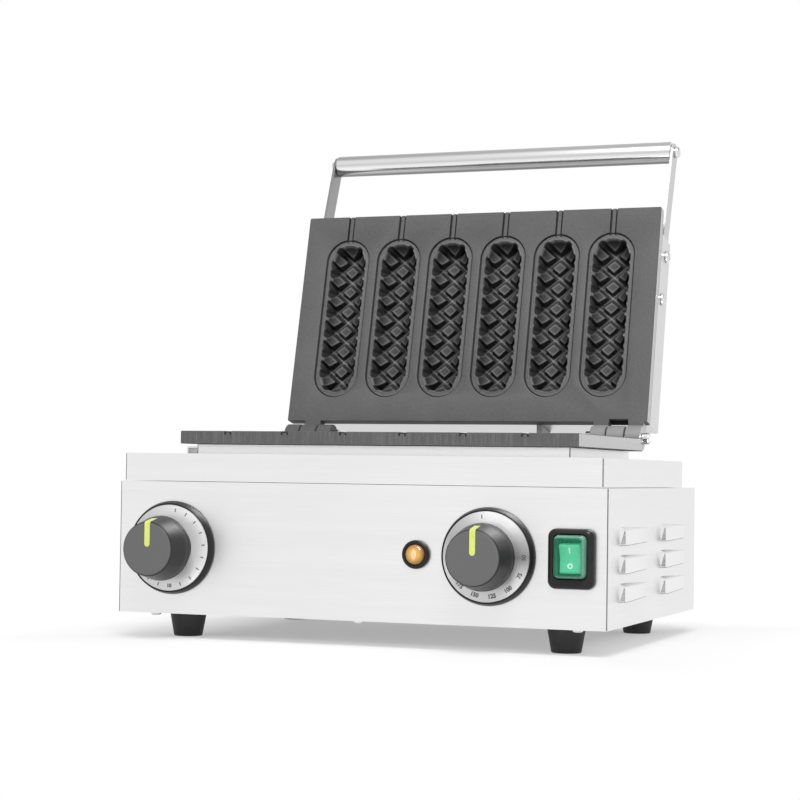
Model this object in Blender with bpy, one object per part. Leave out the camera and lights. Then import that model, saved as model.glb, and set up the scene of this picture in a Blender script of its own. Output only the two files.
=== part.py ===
"""Corn dog waffle iron: a base with timer and thermostat, and a hinged lid with six moulds."""
import math

import bmesh
import bpy
from mathutils import Matrix, Vector

# Lengths are in metres and angles are in degrees.
# X runs left to right, Y from the control panel to the back, and Z up from the table.

# Shared clearances
SEAT = 0.0003
OVERRUN = 0.0010
SHEET = 0.0012
MERGE = 0.000002

# Base casing
CASE_WIDTH = 0.340
CASE_BEHIND_HINGE = 0.03605
CASE_HEIGHT = 0.0885
CASE_FLANGE = 0.043
CASE_TOP_FLANGE = 0.040

# Side louvres
LOUVRE_LENGTH = 0.061
LOUVRE_HEIGHT = 0.0086
LOUVRE_BULGE = 0.0036
LOUVRE_PITCH = 0.0180
LOUVRE_FRONT = 0.0425
LOUVRE_REAR_INSET = 0.0325
LOUVRE_LOWEST = 0.0386
LOUVRE_ROWS = 3
LOUVRE_COLUMNS = 2
LOUVRE_CROWN_share = 0.72
LOUVRE_CUT_share = 0.80

# Feet
FOOT_HEIGHT = 0.0167
FOOT_TOP_RADIUS = 0.0127
FOOT_BOTTOM_RADIUS = 0.0098
FOOT_EDGE = 0.0012
FOOT_SIDE_INSET = 0.0355
FOOT_FRONT_Y = 0.034
FOOT_REAR_INSET = 0.0270
FOOT_STEM_RADIUS = 0.0032
FOOT_BULB_RADIUS = 0.0048
FOOT_BULB_HEIGHT = 0.0060

# Pan-head screws of the arms
SCREW_HEAD_RADIUS = 0.0045
SCREW_HEAD_HEIGHT = 0.0026
SCREW_SHANK_RADIUS = 0.0018
CROWN_share = 0.6

# Deck tray and the collar under the lower plate
DECK_INSET = 0.0033
DECK_REAR_INSET = 0.0270
DECK_HEIGHT = 0.0186
COLLAR_SIDE_INSET = 0.0085
COLLAR_HEIGHT = 0.0064
COLLAR_FRONT_INSET = 0.0100
COLLAR_REAR_INSET = 0.0041
EAR_REACH = 0.0083
EAR_DEPTH = 0.0200
EAR_HEIGHT = 0.0051

# Mould plates
PLATE_WIDTH = 0.284
PLATE_LENGTH = 0.1664
PLATE_THICKNESS = 0.0089
PLATE_FRONT = 0.0312
PLATE_CORNER = 0.0030
PARTING_GAP = 0.0003
HINGE_TO_PLATE = 0.01235
LID_LEAN = 13.5
BLOCK_WALL = 0.0032
BLOCK_DEPTH = 0.0185
BLOCK_CORNER = 0.0120

# Waffle moulds
MOULD_COUNT = 6
MOULD_SIDE_MARGIN = 0.0360
MOULD_FRONT_MARGIN = 0.01925
MOULD_REAR_MARGIN = 0.01915
RECESS_GAP = 0.0064
RECESS_DEPTH = 0.0015
BED_SIDE_INSET = 0.0056
BED_END_INSET = 0.0068
BED_WALL_SPREAD = 0.0060
BED_DEPTH = 0.0100
TROUGH_SIDE_INSET = 0.0030
TROUGH_END_INSET = 0.00425
TROUGH_WALL_SPREAD = 0.0060
TROUGH_DEPTH = 0.0134
CHANNEL_WIDTH = 0.0044
CHANNEL_CROSSINGS = 7
CHANNEL_STEP_share = 0.13607
CHANNEL_SIDE_STEP = 0.0191
STICK_RADIUS = 0.00225

# Hinge
BARREL_RADIUS = 0.0068
FORK_SIDE_INSET = 0.0025
FORK_REACH = 0.0375
TONGUE_SIDE_INSET = 0.0145
TONGUE_WIDTH = 0.0135
TONGUE_GAP = 0.0004
TONGUE_RELIEF = 0.0025
PIN_RADIUS = 0.0030
PIN_HEAD_RADIUS = 0.0042
PIN_HEAD_LENGTH = 0.0055
PIN_TAIL = 0.0050
NUT_RADIUS = 0.0052
NUT_LENGTH = 0.0042

# Heating parts behind each plate
HEATER_RADIUS = 0.0033
HEATER_PITCH_share = 1.25
HEATER_RUNS = 4
HEATER_NEAR_INSET = 0.01345
HEATER_FAR_INSET = 0.03045
HEATER_TURN_STEPS = 4
CLAMP_THICKNESS = 0.0015
CLAMP_MARGIN = 0.006
PAD_THICKNESS = 0.0055
PAD_MARGIN = 0.003
BOLT_RADIUS = 0.0024
BOLT_HEAD_RADIUS = 0.0046
BOLT_HEAD_HEIGHT = 0.0035
BOLT_GRIP = 0.0090
TRAY_CLEARANCE = 0.0023
TRAY_FLANGE = 0.0080
BULB_END_GAP = 0.0060

# Lid cover, arms and handle
COVER_TOP_INSET = 0.01825
COVER_BOTTOM_INSET = 0.00065
ARM_WIDTH = 0.0145
ARM_THICKNESS = 0.0020
ARM_OVERLAP = 0.0575
ARM_START_DEPTH = 0.0170
ARM_LENGTH = 0.1355
ARM_LEAN = 8.5
ARM_SCREW_NEAR = 0.0090
ARM_SCREW_FAR = 0.0445
HANDLE_RADIUS = 0.0083
HANDLE_WALL = 0.0012
HANDLE_END = 0.0030
HANDLE_ROD_RADIUS = 0.0022
HANDLE_NUT_HEIGHT = 0.0034

# Stop bracket that the open lid leans on
BRACKET_X = 0.0580
BRACKET_THICKNESS = 0.0042
BRACKET_BEHIND_HINGE = 0.01255
BRACKET_REAR_INSET = 0.0010
BRACKET_FOOT = 0.0160
BRACKET_FOOT_THICKNESS = 0.0030

# Dials
TIMER_INSET = 0.0395
THERMOSTAT_INSET = 0.0775
DIAL_DROP = 0.00005
BEZEL_RADIUS = 0.0312
BEZEL_DEPTH = 0.0058
BEZEL_RIM = 0.0012
BEZEL_SLOPE = 0.0016
BEZEL_LIP = 0.0009
SCALE_WIDTH = 0.0122
SCALE_THICKNESS = 0.0008
SCALE_SINK = 0.0004
KNOB_BASE_RADIUS = 0.0215
KNOB_FACE_RADIUS = 0.0177
KNOB_SKIRT = 0.0024
KNOB_EDGE = 0.0016
KNOB_LENGTH = 0.0205
TIMER_KNOB_STANDOFF = 0.0161
THERMOSTAT_KNOB_STANDOFF = 0.0120
POINTER_WIDTH = 0.0039
POINTER_DEPTH = 0.0010
POINTER_PROUD = 0.0002
POINTER_START = 0.0015
POINTER_DROP = 0.0100
SHAFT_RADIUS = 0.0030
SHAFT_INTO_KNOB = 0.0150
SHAFT_INTO_WORKS = 0.0140
BUSH_RADIUS = 0.0050
BUSH_LENGTH = 0.0060
WORKS_WIDTH = 0.046
WORKS_DEPTH = 0.026
WORKS_CORNER = 0.004

# Lamp
LAMP_INSET = 0.1260
LAMP_FLANGE_RADIUS = 0.0092
LAMP_FLANGE_DEPTH = 0.0032
LAMP_NECK_RADIUS = 0.0079
LAMP_NECK_LENGTH = 0.022
LENS_RADIUS = 0.0064
LENS_SINK = 0.0026
LENS_RISE = 0.0024

# Rocker switch
SWITCH_INSET = 0.0225
SWITCH_WIDTH = 0.0302
SWITCH_HEIGHT = 0.0378
SWITCH_FRAME_DEPTH = 0.0058
SWITCH_CORNER = 0.0052
SWITCH_SHOULDER = 0.0032
SWITCH_DRAFT = 0.0003
SWITCH_BEVEL = 0.0021
BOOT_RISE = 0.0014
BOOT_WIDTH = 0.0206
BOOT_HEIGHT = 0.0270
BOOT_DEPTH = 0.0112
BOOT_WALL = 0.0009
BOOT_CORNER = 0.0030
BOOT_CROWN_share = 0.86
ROCKER_WIDTH = 0.0132
ROCKER_TIP_HEIGHT = 0.0097
ROCKER_TIP_RISE = 0.0078
ROCKER_DIP_RISE = 0.0062
ROCKER_ROOT_HEIGHT = 0.0060
ROCKER_ROOT_DROP = 0.0040
ROCKER_PIVOT = 0.0030
ROCKER_TILT = 8.0
POCKET_CLEARANCE = 0.0004
POCKET_DEPTH = 0.0090
SWITCH_BODY_DEPTH = 0.024

# Parts at the back
GLAND_INSET = 0.0600
MAINS_GLAND_Z = 0.044
LEAD_GLAND_Z = 0.080
GLAND_RADIUS = 0.0085
GLAND_FLANGE = 0.0030
GLAND_LENGTH = 0.0120
GLAND_NECK_RADIUS = 0.0060
GLAND_BORE_RADIUS = 0.0036
GLAND_REACH = 0.0080
GLAND_TIP_share = 0.8
LID_GLAND_INSET = 0.0100
LID_GLAND_UP = 0.040
TERMINAL_INSET = 0.0720
TERMINAL_WIDTH = 0.044
TERMINAL_DEPTH = 0.018
TERMINAL_HEIGHT = 0.016
TERMINAL_POST_RADIUS = 0.0045
TERMINAL_POST_HEIGHT = 0.006
TERMINAL_POSTS = 3

# Facets of round shapes
FINE = 24
ROUND = 16
COARSE = 10
SMALL = 8
END_STEPS = 4
MOULD_STEPS = 3
CORNER_STEPS = 3
SMOOTH_ANGLE = 35.0

# Levels and places that follow from the sizes above
CASE_BOTTOM = FOOT_HEIGHT + SEAT
CASE_TOP = CASE_BOTTOM + CASE_HEIGHT
DECK_BOTTOM = CASE_TOP + SEAT
DECK_TOP = DECK_BOTTOM + DECK_HEIGHT
COLLAR_BOTTOM = DECK_TOP + SEAT
PLATE_BOTTOM = COLLAR_BOTTOM + COLLAR_HEIGHT + SEAT
FACE_DROP = PARTING_GAP / 2
PLATE_BACK = FACE_DROP + PLATE_THICKNESS
PLATE_REAR = PLATE_FRONT + PLATE_LENGTH
AXIS_Y = PLATE_REAR + HINGE_TO_PLATE
AXIS_Z = PLATE_BOTTOM + PLATE_BACK
CASE_DEPTH = AXIS_Y + CASE_BEHIND_HINGE
DECK_DEPTH = CASE_DEPTH - DECK_REAR_INSET
LOUVRE_COLUMN_STEP = (
    (CASE_DEPTH - LOUVRE_REAR_INSET - LOUVRE_LENGTH - LOUVRE_FRONT) / (LOUVRE_COLUMNS - 1))
FOOT_X = CASE_WIDTH / 2 - FOOT_SIDE_INSET
FOOT_REAR_Y = CASE_DEPTH - FOOT_REAR_INSET
COLLAR_WIDTH = PLATE_WIDTH - 2 * COLLAR_SIDE_INSET
BRACKET_FRONT = AXIS_Y + BRACKET_BEHIND_HINGE
BRACKET_REAR = CASE_DEPTH - BRACKET_REAR_INSET
DIAL_Z = CASE_BOTTOM + CASE_HEIGHT / 2 - DIAL_DROP
TIMER_X = TIMER_INSET - CASE_WIDTH / 2
THERMOSTAT_X = CASE_WIDTH / 2 - THERMOSTAT_INSET
LAMP_X = CASE_WIDTH / 2 - LAMP_INSET
SWITCH_X = CASE_WIDTH / 2 - SWITCH_INSET
GLAND_X = CASE_WIDTH / 2 - GLAND_INSET
TERMINAL_X = CASE_WIDTH / 2 - TERMINAL_INSET
LID_GLAND_X = PLATE_WIDTH / 2 - LID_GLAND_INSET
MOULD_PITCH = (PLATE_WIDTH - 2 * MOULD_SIDE_MARGIN) / (MOULD_COUNT - 1)
BOLT_X = MOULD_PITCH
RECESS_WIDTH = MOULD_PITCH - RECESS_GAP
RECESS_LENGTH = PLATE_LENGTH - MOULD_FRONT_MARGIN - MOULD_REAR_MARGIN
MOULD_MIDDLE = HINGE_TO_PLATE + MOULD_REAR_MARGIN + RECESS_LENGTH / 2
BED_WIDTH = RECESS_WIDTH - 2 * BED_SIDE_INSET
BED_LENGTH = RECESS_LENGTH - 2 * BED_END_INSET
BED_FLOOR_WIDTH = BED_WIDTH - 2 * BED_WALL_SPREAD
TROUGH_WIDTH = RECESS_WIDTH - 2 * TROUGH_SIDE_INSET
TROUGH_LENGTH = RECESS_LENGTH - 2 * TROUGH_END_INSET
TROUGH_FLOOR_WIDTH = TROUGH_WIDTH - 2 * TROUGH_WALL_SPREAD
CHANNEL_STEP = TROUGH_LENGTH * CHANNEL_STEP_share
FORK_OUTER = PLATE_WIDTH / 2 - FORK_SIDE_INSET
FORK_INNER = FORK_OUTER - FORK_REACH
TONGUE_OUTER = PLATE_WIDTH / 2 - TONGUE_SIDE_INSET
TONGUE_INNER = TONGUE_OUTER - TONGUE_WIDTH
BLOCK_HALF_WIDTH = (MOULD_COUNT - 1) * MOULD_PITCH / 2 + TROUGH_WIDTH / 2 + BLOCK_WALL
BLOCK_HALF_LENGTH = TROUGH_LENGTH / 2 + BLOCK_WALL
HEATER_PITCH = MOULD_PITCH * HEATER_PITCH_share
HEATER_NEAR = MOULD_MIDDLE - BLOCK_HALF_LENGTH + HEATER_NEAR_INSET
HEATER_FAR = MOULD_MIDDLE + BLOCK_HALF_LENGTH - HEATER_FAR_INSET
BULB_LENGTH = HEATER_FAR - HEATER_NEAR - 2 * BULB_END_GAP
HEATER_LEVEL = BLOCK_DEPTH + SEAT + HEATER_RADIUS
CLAMP_LEVEL = HEATER_LEVEL + HEATER_RADIUS + SEAT
PAD_LEVEL = CLAMP_LEVEL + CLAMP_THICKNESS + SEAT
SHELL_LEVEL = PAD_LEVEL + PAD_THICKNESS + SEAT
SHELL_BACK = SHELL_LEVEL + SHEET
BOLT_LEVEL = SHELL_BACK + SEAT
COVER_RIM = PLATE_BACK + SEAT
COVER_TOP = HINGE_TO_PLATE + PLATE_LENGTH - COVER_TOP_INSET
COVER_BOTTOM = HINGE_TO_PLATE + COVER_BOTTOM_INSET
ARM_START = COVER_TOP - ARM_OVERLAP
ARM_OUTER_X = PLATE_WIDTH / 2 - SHEET - SEAT
ARM_INNER_X = ARM_OUTER_X - ARM_THICKNESS
HANDLE_UP = ARM_START + ARM_LENGTH * math.cos(math.radians(ARM_LEAN))
HANDLE_DEPTH = ARM_START_DEPTH + ARM_LENGTH * math.sin(math.radians(ARM_LEAN))
LEAN_SIN = math.sin(math.radians(LID_LEAN))
LEAN_COS = math.cos(math.radians(LID_LEAN))
SCALE_OUTER_RADIUS = BEZEL_RADIUS - BEZEL_SLOPE - BEZEL_LIP
SCALE_INNER_RADIUS = SCALE_OUTER_RADIUS - SCALE_WIDTH
KNOB_STANDOFF = max(TIMER_KNOB_STANDOFF, THERMOSTAT_KNOB_STANDOFF)
FRONT_REACH = KNOB_STANDOFF + KNOB_LENGTH + POINTER_PROUD
REAR_REACH = AXIS_Y + HANDLE_UP * LEAN_SIN + HANDLE_DEPTH * LEAN_COS + HANDLE_RADIUS
MIDDLE_Y = (REAR_REACH - FRONT_REACH) / 2

# Colour, roughness and metallic value of each finish
FINISHES = {
    "brushed_steel": ((0.78, 0.78, 0.77), 0.32, 1.0),
    "polished_steel": ((0.82, 0.82, 0.82), 0.16, 1.0),
    "cast_plate": ((0.16, 0.16, 0.165), 0.62, 0.35),
    "dark_steel": ((0.30, 0.30, 0.31), 0.45, 1.0),
    "zinc_screw": ((0.72, 0.72, 0.70), 0.28, 1.0),
    "black_plastic": ((0.025, 0.025, 0.028), 0.38, 0.0),
    "scale_metal": ((0.62, 0.63, 0.64), 0.35, 1.0),
    "pointer_paint": ((0.62, 0.72, 0.12), 0.45, 0.0),
    "amber_lens": ((0.95, 0.42, 0.06), 0.15, 0.0),
    "green_boot": ((0.35, 0.72, 0.42), 0.20, 0.0),
    "green_rocker": ((0.05, 0.45, 0.16), 0.35, 0.0),
    "black_rubber": ((0.03, 0.03, 0.03), 0.75, 0.0),
    "white_wool": ((0.82, 0.80, 0.76), 0.95, 0.0),
    "grey_plastic": ((0.45, 0.46, 0.47), 0.50, 0.0),
}


def clear_scene():
    for old in list(bpy.data.objects):
        bpy.data.objects.remove(old, do_unlink=True)


def mesh_from(bm, name):
    bmesh.ops.recalc_face_normals(bm, faces=bm.faces)
    mesh = bpy.data.meshes.new(name)
    bm.to_mesh(mesh)
    bm.free()
    return mesh


def new_object(name, data):
    made = bpy.data.objects.new(name, data)
    bpy.context.scene.collection.objects.link(made)
    return made


def finish(part, kind, parent, location=(0, 0, 0), rotation=(0, 0, 0)):
    """Give a piece its material, its parent and its place."""
    colour, roughness, metallic = FINISHES[kind]
    material = bpy.data.materials.new(part.name + "_" + kind)
    material.use_nodes = True
    shader = material.node_tree.nodes["Principled BSDF"]
    shader.inputs["Base Color"].default_value = (*colour, 1.0)
    shader.inputs["Roughness"].default_value = roughness
    shader.inputs["Metallic"].default_value = metallic
    material.diffuse_color = (*colour, 1.0)
    part.data.materials.clear()
    part.data.materials.append(material)
    part.parent = parent
    part.location = location
    part.rotation_euler = rotation
    return part


def smooth(part):
    part.data.shade_smooth()
    part.data.set_sharp_from_angle(angle=math.radians(SMOOTH_ANGLE))
    return part


def block(name, low, high):
    """A box between two corners."""
    bm = bmesh.new()
    bmesh.ops.create_cube(bm, size=1)
    middle = (Vector(low) + Vector(high)) / 2
    sides = Vector(high) - Vector(low)
    bmesh.ops.scale(bm, vec=sides, verts=bm.verts)
    bmesh.ops.translate(bm, vec=middle, verts=bm.verts)
    return new_object(name, mesh_from(bm, name))


def loft(name, loops):
    """A closed body through loops of equal length, with flat ends."""
    bm = bmesh.new()
    rings = [[bm.verts.new(point) for point in loop] for loop in loops]
    for lower, upper in zip(rings, rings[1:]):
        for i in range(len(lower)):
            j = (i + 1) % len(lower)
            bm.faces.new((lower[i], lower[j], upper[j], upper[i]))
    bm.faces.new(reversed(rings[0]))
    bm.faces.new(rings[-1])
    return new_object(name, mesh_from(bm, name))


def prism(name, outline, low, high):
    """An outline in X and Y carried from one level to another."""
    return loft(name, [[(x, y, low) for x, y in outline], [(x, y, high) for x, y in outline]])


def side_prism(name, outline, left, right):
    """An outline in Y and Z carried from one X to another."""
    return loft(name, [[(left, y, z) for y, z in outline], [(right, y, z) for y, z in outline]])


def turned(name, profile, segments):
    """A profile of radii and heights turned about Z; it is a ring where it never meets the axis."""
    bm = bmesh.new()
    points = [bm.verts.new((radius, 0, height)) for radius, height in profile]
    edges = [bm.edges.new(pair) for pair in zip(points, points[1:])]
    if profile[0][0] > 0:
        edges.append(bm.edges.new((points[-1], points[0])))
    bmesh.ops.spin(
        bm,
        geom=points + edges,
        cent=(0, 0, 0),
        axis=(0, 0, 1),
        angle=math.tau,
        steps=segments,
        use_merge=True,
    )
    bmesh.ops.remove_doubles(bm, verts=bm.verts, dist=MERGE)
    return smooth(new_object(name, mesh_from(bm, name)))


def stadium(width, length, steps):
    """A slot outline with round ends, longest along Y."""
    radius = width / 2
    straight = length / 2 - radius
    outline = []
    for end in (0, 1):
        for i in range(steps + 1):
            angle = math.pi * (end + i / steps)
            shift = straight if end == 0 else -straight
            outline.append((radius * math.cos(angle), shift + radius * math.sin(angle)))
    return outline


def rounded(width, height, corner, steps):
    """A rectangle outline with round corners."""
    outline = []
    for quarter in range(4):
        middle_x = (width / 2 - corner) * (1 if quarter in (0, 3) else -1)
        middle_y = (height / 2 - corner) * (1 if quarter in (0, 1) else -1)
        for i in range(steps + 1):
            angle = math.pi / 2 * (quarter + i / steps)
            outline.append((middle_x + corner * math.cos(angle), middle_y + corner * math.sin(angle)))
    return outline


def rod(name, radius, low, high, segments):
    return turned(name, [(0, low), (radius, low), (radius, high), (0, high)], segments)


def moved(part, matrix):
    """Move a piece's mesh itself, for cutters and grouped pieces."""
    part.data.transform(matrix)
    return part


def shifted(part, x=0, y=0, z=0):
    return moved(part, Matrix.Translation((x, y, z)))


def along_x(part):
    """Turn a piece made along Z so that it points to +X."""
    return moved(part, Matrix.Rotation(math.pi / 2, 4, "Y"))


def outward(part):
    """Turn a piece made along Z so that it points out of the front panel."""
    return moved(part, Matrix.Rotation(math.pi / 2, 4, "X"))


def combine(part, other, operation):
    """Apply one Boolean to a piece and remove its cutter."""
    modifier = part.modifiers.new(operation.lower(), "BOOLEAN")
    modifier.object = other
    modifier.operation = operation
    modifier.solver = "EXACT"
    graph = bpy.context.evaluated_depsgraph_get()
    result = bpy.data.meshes.new_from_object(part.evaluated_get(graph))
    part.modifiers.clear()
    part.data = result
    bpy.data.objects.remove(other, do_unlink=True)
    return part


def cut(part, *cutters):
    for cutter in cutters:
        combine(part, cutter, "DIFFERENCE")
    return part


def join(part, *others):
    for other in others:
        combine(part, other, "UNION")
    return part


def gathered(name, parts):
    """Put separate solids into one piece."""
    bm = bmesh.new()
    for part in parts:
        bm.from_mesh(part.data)
        bpy.data.objects.remove(part, do_unlink=True)
    return smooth(new_object(name, mesh_from(bm, name)))


def empty(name, location, parent=None, tilt=0):
    made = new_object(name, None)
    made.parent = parent
    made.location = location
    made.rotation_euler = (tilt, 0, 0)
    return made


def side_name(x):
    return "left" if x < 0 else "right"


def both_sides(values):
    return [sign * value for value in values for sign in (-1, 1)]


def mould_places():
    return [(i - (MOULD_COUNT - 1) / 2) * MOULD_PITCH for i in range(MOULD_COUNT)]


def pan_screw(name, head_radius, head_height, shank_radius, shank_length, segments):
    """A screw pointing up, with the underside of its head at zero."""
    return turned(name, [
        (0, -head_height),
        (head_radius * CROWN_share, -head_height),
        (head_radius, -head_height * (1 - CROWN_share)),
        (head_radius, 0),
        (shank_radius, 0),
        (shank_radius, shank_length),
        (0, shank_length),
    ], segments)


# Base casing


def foot_places():
    return {
        "foot_front_left": (-FOOT_X, FOOT_FRONT_Y),
        "foot_front_right": (FOOT_X, FOOT_FRONT_Y),
        "foot_rear_left": (-FOOT_X, FOOT_REAR_Y),
        "foot_rear_right": (FOOT_X, FOOT_REAR_Y),
    }


def louvre_wedge(front, rear, wall_x, crown_x, height):
    """A hood that stands out at its front end and sinks to the panel at its rear."""
    bm = bmesh.new()
    for z in both_sides([height / 2]):
        bm.verts.new((wall_x, front, z))
        bm.verts.new((wall_x, rear, z * LOUVRE_CUT_share))
        bm.verts.new((crown_x, front, z * LOUVRE_CROWN_share))
    bmesh.ops.convex_hull(bm, input=bm.verts)
    return new_object("louvre", mesh_from(bm, "louvre"))


def add_louvres(casing):
    """Raise the hoods on both sides, then open them at their front ends."""
    wall = CASE_WIDTH / 2
    for column in range(LOUVRE_COLUMNS):
        front = LOUVRE_FRONT + column * LOUVRE_COLUMN_STEP
        rear = front + LOUVRE_LENGTH
        for row in range(LOUVRE_ROWS):
            level = LOUVRE_LOWEST + row * LOUVRE_PITCH
            for side in (-1, 1):
                hood = louvre_wedge(front, rear, wall - SHEET / 2, wall + LOUVRE_BULGE, LOUVRE_HEIGHT)
                slot = louvre_wedge(
                    front - OVERRUN,
                    front + LOUVRE_LENGTH * LOUVRE_CUT_share,
                    wall - SHEET - OVERRUN,
                    wall + LOUVRE_BULGE - SHEET,
                    LOUVRE_HEIGHT - 2 * SHEET,
                )
                for piece in (hood, slot):
                    shifted(piece, z=level)
                    if side < 0:
                        moved(piece, Matrix.Scale(-1, 4, (1, 0, 0)))
                        piece.data.flip_normals()
                join(casing, hood)
                cut(casing, slot)


def cut_panel_holes(casing):
    """Open the front panel for the dials, the lamp and the switch."""
    deep = SHEET + OVERRUN
    for x in (TIMER_X, THERMOSTAT_X):
        hole = outward(rod("hole", BUSH_RADIUS + SEAT, -deep, OVERRUN, COARSE))
        cut(casing, shifted(hole, x=x, z=DIAL_Z))
    hole = outward(rod("hole", LAMP_NECK_RADIUS + SEAT, -deep, OVERRUN, ROUND))
    cut(casing, shifted(hole, x=LAMP_X, z=DIAL_Z))
    half_width = BOOT_WIDTH / 2 + SEAT
    half_height = BOOT_HEIGHT / 2 + SEAT
    cut(casing, block(
        "hole",
        (SWITCH_X - half_width, -OVERRUN, DIAL_Z + BOOT_RISE - half_height),
        (SWITCH_X + half_width, deep, DIAL_Z + BOOT_RISE + half_height),
    ))


def cut_gland_holes(casing):
    for x, z in ((GLAND_X, MAINS_GLAND_Z), (-GLAND_X, LEAD_GLAND_Z)):
        hole = outward(rod("hole", GLAND_NECK_RADIUS + SEAT, -SHEET - OVERRUN, OVERRUN, COARSE))
        cut(casing, shifted(hole, x=x, y=CASE_DEPTH - SHEET, z=z))


def base_casing(parent):
    half = CASE_WIDTH / 2
    casing = block("base_casing", (-half, 0, CASE_BOTTOM), (half, CASE_DEPTH, CASE_TOP))
    flange_low = CASE_BOTTOM + SHEET + SEAT
    flange_high = flange_low + SHEET
    inside = block(
        "inside",
        (SHEET - half, SHEET, flange_high),
        (half - SHEET, CASE_DEPTH - SHEET, CASE_TOP - SHEET),
    )
    rabbet = block(
        "rabbet",
        (SHEET - half, SHEET, CASE_BOTTOM - OVERRUN),
        (half - SHEET, CASE_DEPTH - SHEET, flange_low),
    )
    edge = SHEET + CASE_FLANGE
    mouth = block(
        "mouth",
        (edge - half, edge, CASE_BOTTOM),
        (half - edge, CASE_DEPTH - edge, flange_high + OVERRUN),
    )
    top = block(
        "top",
        (CASE_TOP_FLANGE - half, CASE_TOP_FLANGE, CASE_TOP - SHEET - OVERRUN),
        (half - CASE_TOP_FLANGE, CASE_DEPTH - CASE_TOP_FLANGE, CASE_TOP + OVERRUN),
    )
    cut(casing, inside, rabbet, mouth, top)
    for x, y in foot_places().values():
        hole = rod("hole", FOOT_STEM_RADIUS + SEAT, flange_low - SEAT, flange_high + SEAT, SMALL)
        cut(casing, shifted(hole, x=x, y=y))
    cut_panel_holes(casing)
    cut_gland_holes(casing)
    add_louvres(casing)
    finish(casing, "brushed_steel", parent)


def bottom_plate(parent):
    half = CASE_WIDTH / 2 - SHEET - SEAT
    near = SHEET + SEAT
    plate = block(
        "bottom_plate",
        (-half, near, CASE_BOTTOM),
        (half, CASE_DEPTH - near, CASE_BOTTOM + SHEET),
    )
    for x, y in foot_places().values():
        hole = rod("hole", FOOT_STEM_RADIUS + SEAT, -OVERRUN, SHEET + OVERRUN, SMALL)
        cut(plate, shifted(hole, x=x, y=y, z=CASE_BOTTOM))
    finish(plate, "brushed_steel", parent)


def feet(parent):
    """Tapered rubber feet; their stems clip through the bottom plate and the casing's flange."""
    neck = CASE_BOTTOM + 2 * SHEET + 2 * SEAT
    profile = [
        (0, 0),
        (FOOT_BOTTOM_RADIUS - FOOT_EDGE, 0),
        (FOOT_BOTTOM_RADIUS, FOOT_EDGE),
        (FOOT_TOP_RADIUS, FOOT_HEIGHT),
        (FOOT_STEM_RADIUS, FOOT_HEIGHT),
        (FOOT_STEM_RADIUS, neck),
        (FOOT_BULB_RADIUS, neck),
        (0, neck + FOOT_BULB_HEIGHT),
    ]
    for name, (x, y) in foot_places().items():
        finish(turned(name, profile, ROUND), "black_rubber", parent, (x, y, 0))


# Deck


def tray_reach():
    """Half width, near edge and far edge of the well that the lower plate's block hangs in."""
    half = BLOCK_HALF_WIDTH + TRAY_CLEARANCE
    middle = AXIS_Y - MOULD_MIDDLE
    reach = BLOCK_HALF_LENGTH + TRAY_CLEARANCE
    return half, middle - reach, middle + reach


def deck_tray(parent):
    half = CASE_WIDTH / 2 - DECK_INSET
    tray = block("deck_tray", (-half, 0, DECK_BOTTOM), (half, DECK_DEPTH, DECK_TOP))
    inside = block(
        "inside",
        (SHEET - half, SHEET, DECK_BOTTOM - OVERRUN),
        (half - SHEET, DECK_DEPTH - SHEET, DECK_TOP - SHEET),
    )
    well_half, near, far = tray_reach()
    well = block("well", (-well_half, near, DECK_BOTTOM), (well_half, far, DECK_TOP + OVERRUN))
    finish(cut(tray, inside, well), "brushed_steel", parent)


def collar(parent):
    """The low frame between deck and lower plate, with a folded ear at its left front."""
    half = COLLAR_WIDTH / 2
    near = PLATE_FRONT + COLLAR_FRONT_INSET
    far = PLATE_REAR - COLLAR_REAR_INSET
    top = COLLAR_BOTTOM + COLLAR_HEIGHT
    frame = block("collar", (-half, near, COLLAR_BOTTOM), (half, far, top))
    inside = block(
        "inside",
        (SHEET - half, near + SHEET, COLLAR_BOTTOM - OVERRUN),
        (half - SHEET, far - SHEET, top + OVERRUN),
    )
    cut(frame, inside)
    ear_top = COLLAR_BOTTOM + EAR_HEIGHT
    ear = block(
        "ear",
        (-half - EAR_REACH, near, COLLAR_BOTTOM),
        (SHEET / 2 - half, near + EAR_DEPTH, ear_top),
    )
    under = block(
        "under",
        (SHEET - half - EAR_REACH, near - OVERRUN, COLLAR_BOTTOM - OVERRUN),
        (-half, near + EAR_DEPTH + OVERRUN, ear_top - SHEET),
    )
    join(frame, cut(ear, under))
    finish(frame, "brushed_steel", parent)


def reflector_tray(parent):
    """The pan that hangs under the deck and holds the lower heating parts."""
    half, near, far = tray_reach()
    rim = DECK_TOP - SHEET - SEAT
    floor = AXIS_Z - SHELL_LEVEL
    tray = block(
        "reflector_tray",
        (-half - SHEET, near - SHEET, floor - SHEET),
        (half + SHEET, far + SHEET, rim),
    )
    flange = block(
        "flange",
        (-half - TRAY_FLANGE, near - TRAY_FLANGE, rim - SHEET),
        (half + TRAY_FLANGE, far + TRAY_FLANGE, rim),
    )
    inside = block("inside", (-half, near, floor), (half, far, rim + OVERRUN))
    join(tray, flange)
    cut(tray, inside)
    for x, y in bolt_places():
        hole = rod("hole", BOLT_RADIUS + SEAT, -SHEET - OVERRUN, OVERRUN, SMALL)
        cut(tray, shifted(hole, x=x, y=AXIS_Y + y, z=floor))
    finish(tray, "brushed_steel", parent)


# Mould plates: modelled face up about the hinge axis, with the plate towards -Y


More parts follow.
